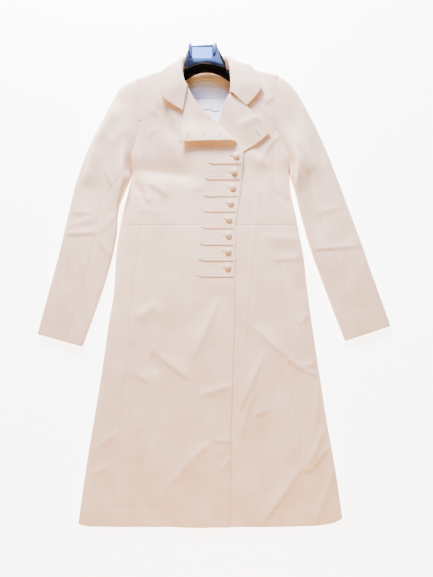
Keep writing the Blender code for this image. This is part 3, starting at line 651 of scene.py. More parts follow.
def sleeve_surface(rows, armhole):
    """Points round a flat sleeve.

    around is 0 at its outer edge, 1 at its inner edge and 2 at the outer again. The top is from 0 to 1
    and the underside from 1 to 2. down is 0 at the armhole and 1 at the cuff.
    """
    table = curved(rows)
    head = dict(zip(SLEEVE_COLUMNS, rows[0]))

    def bow(u):
        y = head["outer_y"] + (head["inner_y"] - head["outer_y"]) * u
        away = math.copysign(ARMHOLE_GAP, head["outer_x"])
        return armhole(y) + away - (head["outer_x"] + (head["inner_x"] - head["outer_x"]) * u)

    def at(around, down):
        around = around % 2.0
        row = dict(zip(SLEEVE_COLUMNS[1:], table(down)))
        turn = math.pi * around
        u = (1.0 - math.cos(turn)) / 2.0
        edge = row["edge"] + (min(row["edge"], UNDERARM_EDGE) - row["edge"]) * u
        swell = math.sqrt(1.0 - (1.0 - min(1.0, SLEEVE_SWELL * abs(math.sin(turn)))) ** 2)
        x = row["outer_x"] + (row["inner_x"] - row["outer_x"]) * u
        y = row["outer_y"] + (row["inner_y"] - row["outer_y"]) * u
        x += bow(u) * (1.0 - ramp(down, 0.0, ARMHOLE_BLEND))
        near = 1.0 - ramp(down, 0.0, FRONT_BLEND)
        if around <= 1.0:
            front = max(laid_height(x, y, folds(x, y)), UNDERARM_TOP)
            top = row["top"] + (front - row["top"]) * near
            z = edge + (top - edge) * swell
        else:
            z = edge * (1.0 - swell)
            z += (back_height(x, y) - z) * (near * (1.0 - ramp(u, UNDERARM_BLEND, 1.0)))
        return Vector((x, y, z))
    return at


def seam_angle(share):
    """The way round a sleeve at which its upper face has this share of its width behind it."""
    return math.acos(1.0 - 2.0 * share) / math.pi


def collar_surface(across, place):
    """A point across the folded collar, from 0 at the neck seam over the roll line to 1 at the edge."""
    values = COLLAR_SECTIONS(place)
    seam, roll, edge = Vector(values[0:3]), Vector(values[3:6]), Vector(values[6:9])
    fold = (roll - (seam + edge) / 2.0).normalized()
    over = seam - edge
    over = (over - fold * over.dot(fold)).normalized()
    before = roll - fold * COLLAR_FOLD + over * COLLAR_FOLD
    after = roll - fold * COLLAR_FOLD - over * COLLAR_FOLD
    points = [(0.0, seam), (0.16, seam.lerp(before, 0.55)), (0.30, before), (0.36, roll), (0.42, after),
              (0.70, after.lerp(edge, 0.5)), (1.0, edge)]
    point = Vector(curved([(key, *point) for key, point in points])(across))
    point.z = max(point.z, COLLAR_LOW)
    return point


def line_share(x, y, line):
    """How far along a line a place is, from 0 to 1, and how far aside in millimetres."""
    dx, dy = line["x1"] - line["x0"], line["y1"] - line["y0"]
    length = math.hypot(dx, dy)
    px, py = x - line["x0"], y - line["y0"]
    return (px * dx + py * dy) / (length * length), (dx * py - dy * px) / length


def far_off(x, y, line, reach):
    return (not min(line["x0"], line["x1"]) - reach < x < max(line["x0"], line["x1"]) + reach
            or not min(line["y0"], line["y1"]) - reach < y < max(line["y0"], line["y1"]) + reach)


def creased(x, y):
    """The height of the creases, the grooves and the cloth's slow waves at a place."""
    total = 0.0
    for long_x, long_y, shift, share in WAVES:
        total += CHOSEN["waves"] * share * noise.noise(Vector((x / long_x, y / long_y, shift)))
    for crease in CREASES:
        if far_off(x, y, crease, CREASE_REACH * crease["width"]):
            continue
        along, aside = line_share(x, y, crease)
        width = crease["width"] * (1.0 if aside > 0.0 else SHARP)
        ends = smooth(min(along + CREASE_OVERRUN, 1.0 + CREASE_OVERRUN - along) / CREASE_FADE)
        total += CHOSEN["crease"] * crease["height"] * math.exp(-abs(aside / width) ** CREASE_POWER) * ends
    for groove in GROOVES:
        if far_off(x, y, groove, CREASE_REACH * groove["width"]):
            continue
        along, aside = line_share(x, y, groove)
        if -0.01 <= along <= 1.01:
            total += groove["height"] * math.exp(-(aside / groove["width"]) ** 2)
    return total


def spread(length, count):
    """Distances across a width: close at both borders, and count even steps between."""
    shortest = 4.0 * EDGE_STEPS[-1]
    if length < shortest:
        return [d * length / shortest for d in spread(shortest, count)]
    start, end = EDGE_STEPS[-1], length - EDGE_STEPS[-1]
    middle = [start + (end - start) * i / count for i in range(1, count)]
    return [*EDGE_STEPS, *middle, *(length - d for d in reversed(EDGE_STEPS))]


def shares(length, spacing):
    return [d / length for d in spread(length, max(2, round(length / spacing)))]


def panel_places(left, right, low, high, spacing, corner=None):
    """Places for a panel between its outlines. corner is (y, share across) where an outline jumps."""
    low_y, high_y = low(0.5), high(0.5)
    widest = max(right(y) - left(y) for y in steps(12, low_y, high_y))
    count = max(2, round(widest / spacing))
    columns = [d / widest for d in spread(widest, count)]
    rows = shares(high_y - low_y, spacing)
    if corner:
        y, u = corner
        at = (y - low(u)) / (high(u) - low(u))
        gap = JOG_GAP / (high(u) - low(u))
        rows = sorted([v for v in rows if abs(v - at) > JOG_CLEAR * gap] + [at - gap, at + gap])
    grid = []
    for v in rows:
        row = []
        for j, u in enumerate(columns):
            y = low(u) + (high(u) - low(u)) * v
            x0, x1 = left(y) + PRESSED_GAP / 2, right(y) - PRESSED_GAP / 2
            row.append((x0 + spread(x1 - x0, count)[j], y))
        grid.append(row)
    return grid


def lengths_along(points):
    total, out = 0.0, [0.0]
    for a, b in zip(points, points[1:]):
        total += (b - a).length
        out.append(total)
    return out


def grid_normals(points):
    """The direction outwards at each point of a grid, from its neighbours."""
    rows, columns = len(points), len(points[0])
    out = []
    for i in range(rows):
        line = []
        for j in range(columns):
            across = points[i][min(j + 1, columns - 1)] - points[i][max(j - 1, 0)]
            along = points[min(i + 1, rows - 1)][j] - points[max(i - 1, 0)][j]
            line.append(across.cross(along).normalized())
        out.append(line)
    return out


def make_sheet(name, surface, places, thickness, finish, outward=1.0, sunk=0.0):
    """A sheet of cloth with round edges: points on a surface, and the same points moved in.

    Its two faces meet in one rim halfway between them. sunk is how far a seam dips at the borders.
    The UV map holds metres across and along the cloth.
    """
    points = [[surface(a, b) for a, b in row] for row in places]
    normals = grid_normals(points)
    rows, columns = len(points), len(points[0])
    across = [lengths_along(row) for row in points]
    along = [lengths_along([points[i][j] for i in range(rows)]) for j in range(columns)]
    mesh_data = bmesh.new()
    uv_layer = mesh_data.loops.layers.uv.new("Cloth")
    outer, inner, flat = [], [], {}
    for i in range(rows):
        outer_row, inner_row = [], []
        for j in range(columns):
            a, b = across[i][j], along[j][i]
            border = min(a, across[i][-1] - a, b, along[j][-1] - b)
            near = max(0.0, 1.0 - border / EDGE_ROUND)
            rounded = thickness / 2.0 * (1.0 - math.sqrt(1.0 - near * near))
            dip = sunk * math.exp(-(border / SEAM_WIDTH) ** 2)
            normal = normals[i][j] * outward
            top = points[i][j] - normal * (rounded + dip)
            outer_row.append(mesh_data.verts.new(top * MM))
            if border == 0.0:
                inner_row.append(outer_row[-1])
            else:
                bottom = points[i][j] - normal * (thickness - rounded + dip)
                inner_row.append(mesh_data.verts.new(bottom * MM))
            flat[outer_row[-1]] = flat[inner_row[-1]] = (a * MM, b * MM)
        outer.append(outer_row)
        inner.append(inner_row)
    for i in range(rows - 1):
        for j in range(columns - 1):
            mesh_data.faces.new((outer[i][j], outer[i][j + 1], outer[i + 1][j + 1], outer[i + 1][j]))
            mesh_data.faces.new((inner[i][j], inner[i + 1][j], inner[i + 1][j + 1], inner[i][j + 1]))
    for face in mesh_data.faces:
        for loop in face.loops:
            loop[uv_layer].uv = flat[loop.vert]
    if mesh_data.calc_volume(signed=True) < 0.0:
        bmesh.ops.reverse_faces(mesh_data, faces=mesh_data.faces)
    mesh = bpy.data.meshes.new(name)
    mesh_data.to_mesh(mesh)
    mesh_data.free()
    mesh.shade_smooth()
    return own(name, mesh, finish)


def own(name, mesh, finish):
    """An object at the origin with this mesh and finish, riding on the coat."""
    made = bpy.data.objects.new(name, mesh)
    bpy.context.collection.objects.link(made)
    mesh.materials.clear()
    mesh.materials.append(FINISHES[finish])
    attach(made, "root")
    return made


def cloth_piece(node, surface, places, thickness, finish="wool cloth", outward=1.0, sunk=0.0):
    """The sheet that stands for a node, whose solid it hides. The node's cut is looked up in the table of
    cuts but not used further.
    """
    made = make_sheet(f"{node}_cloth", surface, places, thickness, finish, outward, sunk)
    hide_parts(node)
    cut = CUTS[node]
    list(cut["on"])
    return made


def linear(code):
    """A hex sRGB colour as linear red, green and blue."""
    out = []
    for i in (1, 3, 5):
        value = int(code[i:i + 2], 16) / 255.0
        out.append(value / 12.92 if value <= 0.04045 else ((value + 0.055) / 1.055) ** 2.4)
    return tuple(out)


def add_node(tree, kind, inputs=(), **settings):
    """A node with its settings. inputs are (socket, value) pairs, where a value may be another output."""
    made = tree.nodes.new(kind)
    for name, value in settings.items():
        setattr(made, name, value)
    for socket, value in inputs:
        if isinstance(value, bpy.types.NodeSocket):
            tree.links.new(value, made.inputs[socket])
        else:
            made.inputs[socket].default_value = value
    return made


def new_finish(name, code, **sockets):
    """A material with a Principled shader, whose sockets are given by name with _ for a space."""
    made = bpy.data.materials.new(name)
    made.use_nodes = True
    shader = made.node_tree.nodes["Principled BSDF"]
    shader.inputs["Base Color"].default_value = (*linear(code), 1.0)
    for socket, value in sockets.items():
        shader.inputs[socket.replace("_", " ")].default_value = value
    made.diffuse_color = (*linear(code), 1.0)
    return made, made.node_tree, shader


def bumped(tree, shader, height, distance, strength):
    """Bump from a height that is 1 at distance metres."""
    bump = add_node(tree, "ShaderNodeBump",
                    [("Height", height), ("Distance", distance), ("Strength", strength)])
    tree.links.new(bump.outputs["Normal"], shader.inputs["Normal"])


def two_tones(tree, shader, share, first, second):
    """A base colour between two linear tones, by a share from 0 to 1."""
    mix = add_node(tree, "ShaderNodeMix", [("Factor", share)], data_type="RGBA")
    mix.inputs["A"].default_value = (*first, 1.0)
    mix.inputs["B"].default_value = (*second, 1.0)
    tree.links.new(mix.outputs["Result"], shader.inputs["Base Color"])


def wool_finish(sizes):
    """Melton wool: woven, fulled and pressed, so it is matte, with a soft pale nap that hides its weave."""
    made, tree, shader = new_finish("wool cloth", WOOL, Roughness=0.88, Sheen_Weight=0.28,
                                    Sheen_Roughness=0.45)
    place = add_node(tree, "ShaderNodeTexCoord").outputs["UV"]
    # The nap's tufts are 0.3 mm and are drawn at 1.4 mm, as finer ones would not show
    nap = add_node(tree, "ShaderNodeTexNoise", [("Vector", place), ("Scale", 1.0 / 0.0014), ("Detail", 3.0)])
    # A faint diagonal of the twill under the nap, 0.9 mm in the cloth and drawn at 2.2 mm
    slant = add_node(tree, "ShaderNodeMapping",
                     [("Vector", place), ("Rotation", (0.0, 0.0, math.radians(63)))])
    twill = add_node(tree, "ShaderNodeTexWave",
                     [("Vector", slant.outputs["Vector"]), ("Scale", WAVE_SCALE / 0.0022),
                      ("Distortion", 1.2), ("Detail", 1.0)])
    both = add_node(tree, "ShaderNodeMath", [(0, twill.outputs["Fac"]), (1, 0.3), (2, nap.outputs["Fac"])],
                    operation="MULTIPLY_ADD")
    bumped(tree, shader, both.outputs["Value"], 0.0003, 0.5)
    # Slow changes of tone over 60 mm, where the cloth was pressed and handled
    handled = add_node(tree, "ShaderNodeTexNoise",
                       [("Vector", place), ("Scale", 1.0 / 0.06), ("Detail", 4.0)])
    mottle = add_node(tree, "ShaderNodeMath",
                      [(0, nap.outputs["Fac"]), (1, 0.35), (2, handled.outputs["Fac"])],
                      operation="MULTIPLY_ADD")
    span = add_node(tree, "ShaderNodeMapRange",
                    [("Value", mottle.outputs["Value"]), ("From Min", 0.4), ("From Max", 0.95)])
    two_tones(tree, shader, span.outputs["Result"], sizes.wool_shade, sizes.wool_light)
    return made


def lining_finish():
    """Acetate satin: a fine smooth warp with long floats, so it has a soft gloss along the cloth."""
    made, tree, shader = new_finish("lining", "#ece7e2", Roughness=0.42, Sheen_Weight=0.1)
    place = add_node(tree, "ShaderNodeTexCoord").outputs["UV"]
    # Warp threads of 0.15 mm, drawn at 1.2 mm
    warp = add_node(tree, "ShaderNodeTexWave",
                    [("Vector", place), ("Scale", WAVE_SCALE / 0.0012), ("Distortion", 0.6)])
    bumped(tree, shader, warp.outputs["Fac"], 0.0001, 0.4)
    return made


def label_finish():
    """Woven damask tape with nothing on it: a dense, slightly shiny polyester weave."""
    made, tree, shader = new_finish("woven label", "#e6e2e0", Roughness=0.55)
    place = add_node(tree, "ShaderNodeTexCoord").outputs["UV"]
    # Picks of 0.25 mm, drawn at 1.1 mm
    upright = add_node(tree, "ShaderNodeMapping", [("Vector", place), ("Rotation", (0.0, 0.0, math.pi / 2))])
    picks = add_node(tree, "ShaderNodeTexWave",
                     [("Vector", upright.outputs["Vector"]), ("Scale", WAVE_SCALE / 0.0011)])
    bumped(tree, shader, picks.outputs["Fac"], 0.00012, 0.5)
    two_tones(tree, shader, picks.outputs["Fac"], linear("#ded9d6"), linear("#ece9e7"))
    return made


def moulded_finish():
    """Black ABS, injection moulded in a spark-eroded mould: a dull, deep black with hardly a highlight."""
    made, tree, shader = new_finish("black plastic", "#020203", Roughness=0.6, Specular_IOR_Level=0.05)
    place = add_node(tree, "ShaderNodeTexCoord").outputs["Object"]
    # The mould's grain is 0.2 mm, drawn at 0.8 mm
    grain = add_node(tree, "ShaderNodeTexNoise",
                     [("Vector", place), ("Scale", 1.0 / 0.0008), ("Detail", 2.0)])
    bumped(tree, shader, grain.outputs["Fac"], 0.00004, 0.5)
    return made


def lacquered_finish(name, code, metallic, roughness):
    """ABS under a clear lacquer: blue-black or pale blue and glossy, a little uneven from the mould."""
    made, tree, shader = new_finish(name, code, Metallic=metallic, Roughness=roughness, Coat_Weight=0.2,
                                    Coat_Roughness=0.06)
    place = add_node(tree, "ShaderNodeTexCoord").outputs["Object"]
    # The moulding's waves are 6 mm across
    waves = add_node(tree, "ShaderNodeTexNoise",
                     [("Vector", place), ("Scale", 1.0 / 0.006), ("Detail", 1.0)])
    bumped(tree, shader, waves.outputs["Fac"], 0.0002, 0.35)
    return made


def thread_finish(name, code):
    """Spun polyester thread: two twisted plies with a dull gloss."""
    made, tree, shader = new_finish(name, code, Roughness=0.6, Sheen_Weight=0.15)
    place = add_node(tree, "ShaderNodeTexCoord").outputs["Object"]
    # The plies cross every 0.7 mm
    plies = add_node(tree, "ShaderNodeTexNoise",
                     [("Vector", place), ("Scale", 1.0 / 0.0007), ("Detail", 1.0)])
    bumped(tree, shader, plies.outputs["Fac"], 0.0001, 0.6)
    return made


def make_finishes(sizes):
    FINISHES.update({
        "wool cloth": wool_finish(sizes),
        "lining": lining_finish(),
        "woven label": label_finish(),
        "black plastic": moulded_finish(),
        "glossy plastic": lacquered_finish("glossy plastic", "#070f24", 0.0, 0.16),
        "plated pane": lacquered_finish("plated pane", "#4f7fb4", 0.1, 0.3),
        "polyester thread": thread_finish("polyester thread", "#faefe2"),
        # A dark brown that is painted shade, for the buttonhole slits
        "thread in shade": thread_finish("thread in shade", "#5c473c"),
    })


def right_front(x, y):
    return Vector((x, y, right_front_height(x, y) + creased(x, y)))


def left_front(x, y):
    """The left front's face. Its ridges fade out where the right front lies on it."""
    fold = creased(x, y)
    shown = 1.0 - ramp(FRONT_EDGE(y) - x, *FLATTENED)
    return Vector((x, y, left_front_height(x, y) + min(fold, 0.0) + max(fold, 0.0) * shown))


def lifted(surface, lift):
    """A surface raised by a lift that may change from place to place."""
    return lambda x, y: surface(x, y) + Vector((0.0, 0.0, lift(x, y)))


def right_lapel_lift(x, y):
    """The right lapel stands off the front towards its lower edge and its point."""
    stand = (1.0 - ramp(y, LAPEL_RIGHT_LOW, STAND_TOP)) * ramp(ROLL_RIGHT(y) - x, 0.0, STAND_EDGE)
    return LAPEL_LIFT + LAPEL_STAND * stand


def left_lapel_lift(x, y):
    return LAPEL_LIFT + LEFT_STAND * ramp(x - ROLL_RIGHT(y), *LEFT_STAND_EDGE)


def panel(node, surface, left, right, low, high, corner=None):
    places = panel_places(left, right, low, high, CHOSEN["spacing"], corner)
    return cloth_piece(node, surface, places, CLOTH, sunk=SEAM_DIP)


def lipped(outline, outer):
    """The shoulder seam with more cloth at its sleeve end, where the armhole's curve cuts it short."""
    return lambda u: outline(u) + FRONT_LIP * (1.0 - ramp(abs(u - outer), 0.0, FRONT_LIP_SHARE))


def make_fronts():
    above, below = level(WAIST_Y + PRESSED_GAP / 2), level(WAIST_Y - PRESSED_GAP / 2)
    right_shoulder = lipped(shoulder_between(SHOULDER_RIGHT_X, NECK_RIGHT_X), 0.0)
    left_shoulder = lipped(shoulder_between(NECK_LEFT_X, SHOULDER_LEFT_X), 1.0)
    right_top, left_top = level(PRINCESS_TOP_RIGHT - 1.0), level(PRINCESS_TOP_LEFT - 1.0)
    panel("front_right_bodice", right_front, princess_or_armhole_right, roll_or_edge_right, above,
          right_shoulder, (PRINCESS_TOP_RIGHT, 0.0))
    panel("front_left_bodice", left_front, hidden_left_edge, princess_or_armhole_left, above,
          left_shoulder, (PRINCESS_TOP_LEFT, 1.0))
    panel("side_right_bodice", right_front, side_left, PRINCESS_RIGHT, above, right_top)
    panel("side_left_bodice", left_front, PRINCESS_LEFT, side_right, above, left_top)
    for name, surface, left, right, left_x, right_x in (
            ("front_right_skirt", right_front, PRINCESS_RIGHT, FRONT_EDGE, HEM_PRINCESS_RIGHT, HEM_EDGE),
            ("front_left_skirt", left_front, hidden_left_edge, PRINCESS_LEFT, HEM_HIDDEN, HEM_PRINCESS_LEFT),
            ("side_right_skirt", right_front, side_left, PRINCESS_RIGHT, HEM_SIDE_RIGHT, HEM_PRINCESS_RIGHT),
            ("side_left_skirt", left_front, PRINCESS_LEFT, side_right, HEM_PRINCESS_LEFT, HEM_SIDE_LEFT)):
        panel(name, surface, left, right, hem_between(left_x, right_x), below)


def make_back():
    def neckline(u):
        x = SHOULDER_RIGHT_X + (SHOULDER_LEFT_X - SHOULDER_RIGHT_X) * u
        lip = BACK_LIP + SHOULDER_LIP * (2.0 * u - 1.0) ** 4
        neck = NECKLINE_Y + NECK_DEPTH * smooth(abs(x - NECK_CENTRE_X) / NECK_CURVE)
        return min(shoulder_line(x) + lip, neck)

    def left(y):
        return side_left(y) + BACK_INSET * ramp(y, *INSET_START) * (1.0 - ramp(y, *INSET_END_RIGHT))

    def right(y):
        return side_right(y) - BACK_INSET * ramp(y, *INSET_START) * (1.0 - ramp(y, *INSET_END_LEFT))

    above, below = level(WAIST_Y + PRESSED_GAP / 2), level(WAIST_Y - PRESSED_GAP / 2)
    hem = hem_between(HEM_SIDE_RIGHT, HEM_SIDE_LEFT)
    for node, outline in (("back_bodice", (left, right, above, neckline)),
                          ("back_skirt", (side_left, side_right, hem, below))):
        places = panel_places(*outline, BACK_SPACING)
        cloth_piece(node, on(back_height), places, CLOTH, outward=-1.0)


def make_sleeves():
    sides = [("right", SLEEVE_RIGHT, ARMHOLE_RIGHT), ("left", SLEEVE_LEFT, ARMHOLE_LEFT)]
    for side, table, armhole in sides:
        plain = sleeve_surface(table, armhole)
        outward = -1.0 if side == "right" else 1.0

        def surface(around, down):
            point = plain(around, down)
            turn = math.sin(math.pi * (around % 2.0))
            if turn > 0.0:
                point.z += creased(point.x, point.y) * smooth(turn * SLEEVE_FADE)
            return point

        def seam(v):
            return seam_angle(SLEEVE_SEAM(v))

        rows = shares(SLEEVE_LENGTH, CHOSEN["spacing"])
        for node, start, end in (
                ("sleeve_top", lambda v: BACK_SEAM - 2.0 + SLEEVE_GAP, lambda v: seam(v) - SLEEVE_GAP),
                ("sleeve_under", lambda v: seam(v) + SLEEVE_GAP, lambda v: BACK_SEAM - SLEEVE_GAP)):
            columns = shares(SLEEVE_GIRTH, CHOSEN["spacing"])
            places = [[(start(v) + (end(v) - start(v)) * u, v) for u in columns] for v in rows]
            cloth_piece(f"{node}_{side}", surface, places, CLOTH, outward=outward, sunk=SEAM_DIP)


def make_lapels():
    places = panel_places(LAPEL_RIGHT_EDGE, ROLL_RIGHT, level(LAPEL_RIGHT_LOW), level(LAPEL_RIGHT_TOP),
                          FINE_SPACING)
    cloth_piece("lapel_right", lifted(right_front, right_lapel_lift), places, CLOTH)
    places = panel_places(ROLL_LEFT, LAPEL_LEFT_EDGE, level(LAPEL_LEFT_LOW), level(LAPEL_LEFT_TOP),
                          FINE_SPACING)
    cloth_piece("lapel_left", lifted(left_front, left_lapel_lift), places, CLOTH)


def make_collar():
    across, around = shares(COLLAR_WIDTH, FINE_SPACING), shares(COLLAR_LENGTH, FINE_SPACING)
    places = [[(a, s * COLLAR_STATIONS) for a in across] for s in around]
    cloth_piece("collar", collar_surface, places, COLLAR_CLOTH)


def make_neck_inside():
    left, right = NECK_INSIDE_X
    band = single(straight([(x, FACING_EDGE(x)) for x in steps(12, left, right)]))

    def lower(u):
        return band(left + (right - left) * u)

    def upper(u):
        x = left + (right - left) * u
        return min(shoulder_line(x) - SHOULDER_TURN - FACING_SHORT, NECKLINE_Y + FACING_OVER)

    def above(thickness, gap, ripple=0.0):
        lift = CLOTH + gap + thickness

        def surface(x, y):
            wave = ripple * (1.0 + noise.noise(Vector((x / RIPPLE_X, y / RIPPLE_Y, RIPPLE_SHIFT))))
            return Vector((x, y, back_height(x, y) + lift + wave))
        return surface

    places = panel_places(level(left), level(right), lambda u: lower(u) + FACING_SEAM, upper, FINE_SPACING)
    cloth_piece("neck_facing", above(FACING, FACING_GAP), places, FACING)
    places = panel_places(level(left), level(right), level(LINING_LOW), lambda u: lower(u) - FACING_SEAM,
                          FINE_SPACING)
    cloth_piece("lining", above(LINING, LINING_GAP, LINING_RIPPLE), places, LINING, "lining")
    for name, x0, x1, y0, y1 in LABELS:
        places = panel_places(level(x0), level(x1), level(y0), level(y1), FINE_SPACING)
        cloth_piece(name, above(LABEL, LINING + LABEL_GAP, LINING_RIPPLE), places, LABEL, "woven label")


def tuck_surface(row):
    """A tuck's upper face: it rises from its sewn upper line to the fold at its lower edge."""
    def surface(x, y):
        share = (y - row["tuck_y"]) / TUCK_WIDTH
        rise = TUCK_RISE * (1.0 - smooth(share)) + TUCK_FLUSH
        bow = 1.0 + TUCK_BOW * noise.noise(Vector((x / 16.0, row["tuck_y"], 0.3)))
        return right_front(x, y) + Vector((0.0, 0.0, rise * bow))
    return surface


def make_tucks():
    for number, row in enumerate(FASTENINGS, 1):
        places = panel_places(level(row["tuck_x"]), lambda y: FRONT_EDGE(y) - TUCK_END,
                              level(row["tuck_y"]), level(row["tuck_y"] + TUCK_WIDTH), TUCK_SPACING)
        cloth_piece(f"tuck_{number}", tuck_surface(row), places, TUCK_CLOTH)


def deselect():
    if bpy.context.object and bpy.context.object.mode != "OBJECT":
        bpy.ops.object.mode_set(mode="OBJECT")
    bpy.ops.object.select_all(action="DESELECT")


def take_mesh(turn=None):
    """The active object's mesh with its place applied. The object itself is removed."""
    made = bpy.context.object
    bpy.ops.object.transform_apply(location=True, rotation=True, scale=True)
    mesh = made.data
    if turn:
        mesh.transform(turn)
    bpy.data.objects.remove(made)
    return mesh


def edit_select(mesh_object, test, mode="VERT"):
    """In edit mode, selects the vertices or faces that pass a test."""
    bpy.ops.mesh.select_mode(type=mode)
    bpy.ops.mesh.select_all(action="DESELECT")
    shape = bmesh.from_edit_mesh(mesh_object.data)
    for part in shape.verts if mode == "VERT" else shape.faces:
        if test(part):
            part.select_set(True)
    shape.select_flush(True)
    bmesh.update_edit_mesh(mesh_object.data)


def button_mesh():
    """A covered button: a sphere cut to a dome, tucked in under its rim and drawn in to its shank."""
    deselect()
    bpy.ops.mesh.primitive_uv_sphere_add(segments=36, ring_count=20, radius=BUTTON_RADIUS * MM)
    dome = bpy.context.object
    bpy.ops.object.mode_set(mode="EDIT")
    bpy.ops.mesh.select_all(action="SELECT")
    bpy.ops.mesh.bisect(plane_co=(0, 0, -BUTTON_CUT * BUTTON_RADIUS * MM), plane_no=(0, 0, 1),
                        clear_inner=True, use_fill=False)
    rim = min(vert.co.z for vert in bmesh.from_edit_mesh(dome.data).verts)
    edit_select(dome, lambda vert: vert.co.z < rim + 1e-6)
    for scale, drop in BUTTON_RINGS:
        bpy.ops.mesh.extrude_region_move(TRANSFORM_OT_translate={"value": (0, 0, drop * MM)})
        bpy.ops.transform.resize(value=(scale, scale, 1.0))
    bpy.ops.mesh.edge_face_add()
    bpy.ops.object.mode_set(mode="OBJECT")
    low = min(vert.co.z for vert in dome.data.vertices)
    high = max(vert.co.z for vert in dome.data.vertices)
    dome.location = (0.0, 0.0, 0.0)
    for vert in dome.data.vertices:
        vert.co.z = (vert.co.z - low) / (high - low) * BUTTON_HEIGHT * MM
    dome.data.shade_smooth()
    return take_mesh()


def make_buttons():
    shape = button_mesh()
    for number, row in enumerate(FASTENINGS, 1):
        mesh = shape.copy()
        mesh.name = f"button_{number}_cover"
        x, y = row["button_x"], row["button_y"]
        foot = right_front(x, y) + Vector((0.0, 0.0, BUTTON_LIFT))
        mesh.transform(Matrix.Translation(foot * MM) @ Matrix.Rotation(BUTTON_TURN * number, 4, "Z"))
        made = own(f"button_{number}_cover", mesh, "wool cloth")
        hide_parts(f"button_{number}")
    bpy.data.meshes.remove(shape)


def stitch_mesh():
    """One stitch of thread, 1 long along X and 1 thick: a cylinder with its ends bevelled round."""
    deselect()
    bpy.ops.mesh.primitive_cylinder_add(vertices=8, radius=0.5, depth=1.0, rotation=(0, math.pi / 2, 0))
    bpy.ops.object.transform_apply(location=False, rotation=True, scale=False)
    thread = bpy.context.object
    bpy.ops.object.mode_set(mode="EDIT")
    edit_select(thread, lambda face: abs(face.normal.x) > 0.9, "FACE")
    bpy.ops.mesh.bevel(offset=0.28, segments=2, affect="EDGES")
    bpy.ops.object.mode_set(mode="OBJECT")
    thread.data.shade_smooth()
    return take_mesh()


def sew(name, stitches, finish="polyester thread"):
    """Stitches as one piece: each is its two ends and its thickness, in millimetres."""
    shape = stitch_mesh()
    sewn = bmesh.new()
    for start, end, thick in stitches:
        run = end - start
        turn = run.to_track_quat("X", "Z").to_matrix().to_4x4()
        size = Matrix.Diagonal((run.length, thick, thick, 1.0))
        copy = shape.copy()
        copy.transform(Matrix.Scale(MM, 4) @ Matrix.Translation((start + end) / 2.0) @ turn @ size)
        sewn.from_mesh(copy)
        bpy.data.meshes.remove(copy)
    mesh = bpy.data.meshes.new(name)
    sewn.to_mesh(mesh)
    sewn.free()
    bpy.data.meshes.remove(shape)
    mesh.shade_smooth()
    return own(name, mesh, finish)


def along_path(corners, pitch):
    """Places at an even pitch along straight runs between corners."""
    out = []
    for (x0, y0), (x1, y1) in zip(corners, corners[1:]):
        count = max(1, round(math.hypot(x1 - x0, y1 - y0) / pitch))
        out += [(x0 + (x1 - x0) * i / count, y0 + (y1 - y0) * i / count) for i in range(count)]
    return out + [corners[-1]]


def topstitch(surface, corners):
    """A row of stitches that lies half sunk in a surface."""
    places = along_path(corners, STITCH + STITCH_GAP)
    part = STITCH / (STITCH + STITCH_GAP)
    lift = Vector((0.0, 0.0, STITCH_LIFT))
    out = []
    for (x0, y0), (x1, y1) in zip(places, places[1:]):
        end = surface(x0 + (x1 - x0) * part, y0 + (y1 - y0) * part)
        out.append((surface(x0, y0) + lift, end + lift, THREAD))
    return out


def satin(surface, x0, y0, x1, y1, width, end_width, lift=SATIN_LIFT):
    """Stitches side by side across a line, from one width to another, such as an arrowhead or a bar."""
    run = Vector((x1 - x0, y1 - y0))
    side = Vector((-run.y, run.x)).normalized()
    count = max(2, round(run.length / SATIN_PITCH))
    out = []
    for i in range(count + 1):
        middle = Vector((x0, y0)) + run * i / count
        half = side * (width + (end_width - width) * i / count) / 2.0
        a, b = middle - half, middle + half
        raised = Vector((0.0, 0.0, lift))
        out.append((surface(*a) + raised, surface(*b) + raised, SATIN_THREAD))
    return out


def buttonhole(surface, x0, y0, x1, y1):
    """A worked buttonhole: a row of short stitches down each side of its slit, and a bar at each end."""
    run = Vector((x1 - x0, y1 - y0)).normalized()
    side = Vector((-run.y, run.x)) * HOLE_SIDE
    rows = satin(surface, x0 + side.x, y0 + side.y, x1 + side.x, y1 + side.y, HOLE_ROW, HOLE_ROW)
    rows += satin(surface, x0 - side.x, y0 - side.y, x1 - side.x, y1 - side.y, HOLE_ROW, HOLE_ROW)
    for x, y, way in ((x0, y0, -run), (x1, y1, run)):
        end = (x + way.x * HOLE_BAR_LENGTH, y + way.y * HOLE_BAR_LENGTH)
        rows += satin(surface, x, y, *end, HOLE_BAR, HOLE_BAR)
    return rows


def slit(name, surface, x0, y0, x1, y1):
    """The opening of a buttonhole, as a flat sliver between its rows of thread, coloured dark as painted
    shade.
    """
    lift = Vector((0.0, 0.0, SLIT_LIFT))
    return sew(name, [(surface(x0, y0) + lift, surface(x1, y1) + lift, SLIT_WIDTH)], "thread in shade")


def make_buttonholes():
    for number, row in enumerate(FASTENINGS, 1):
        x, y = row["button_x"] - BUTTON_RADIUS, row["button_y"]
        line = (x - HOLE_REACH, y, x + HOLE_UNDER, y - HOLE_SLANT)
        sew(f"buttonhole_{number}", buttonhole(right_front, *line))
        # Each hole's slit is a dark sliver of painted shade
        slit(f"buttonhole_slit_{number}", right_front, *line)
    right, left = lifted(right_front, right_lapel_lift), lifted(left_front, left_lapel_lift)
    for number, (x0, y0, x1, y1) in enumerate(LAPEL_HOLES, 1):
        surface = right if number < len(LAPEL_HOLES) else left
        sew(f"lapel_buttonhole_{number}", buttonhole(surface, x0, y0, x1, y1))
        slit(f"lapel_slit_{number}", surface, x0, y0, x1, y1)


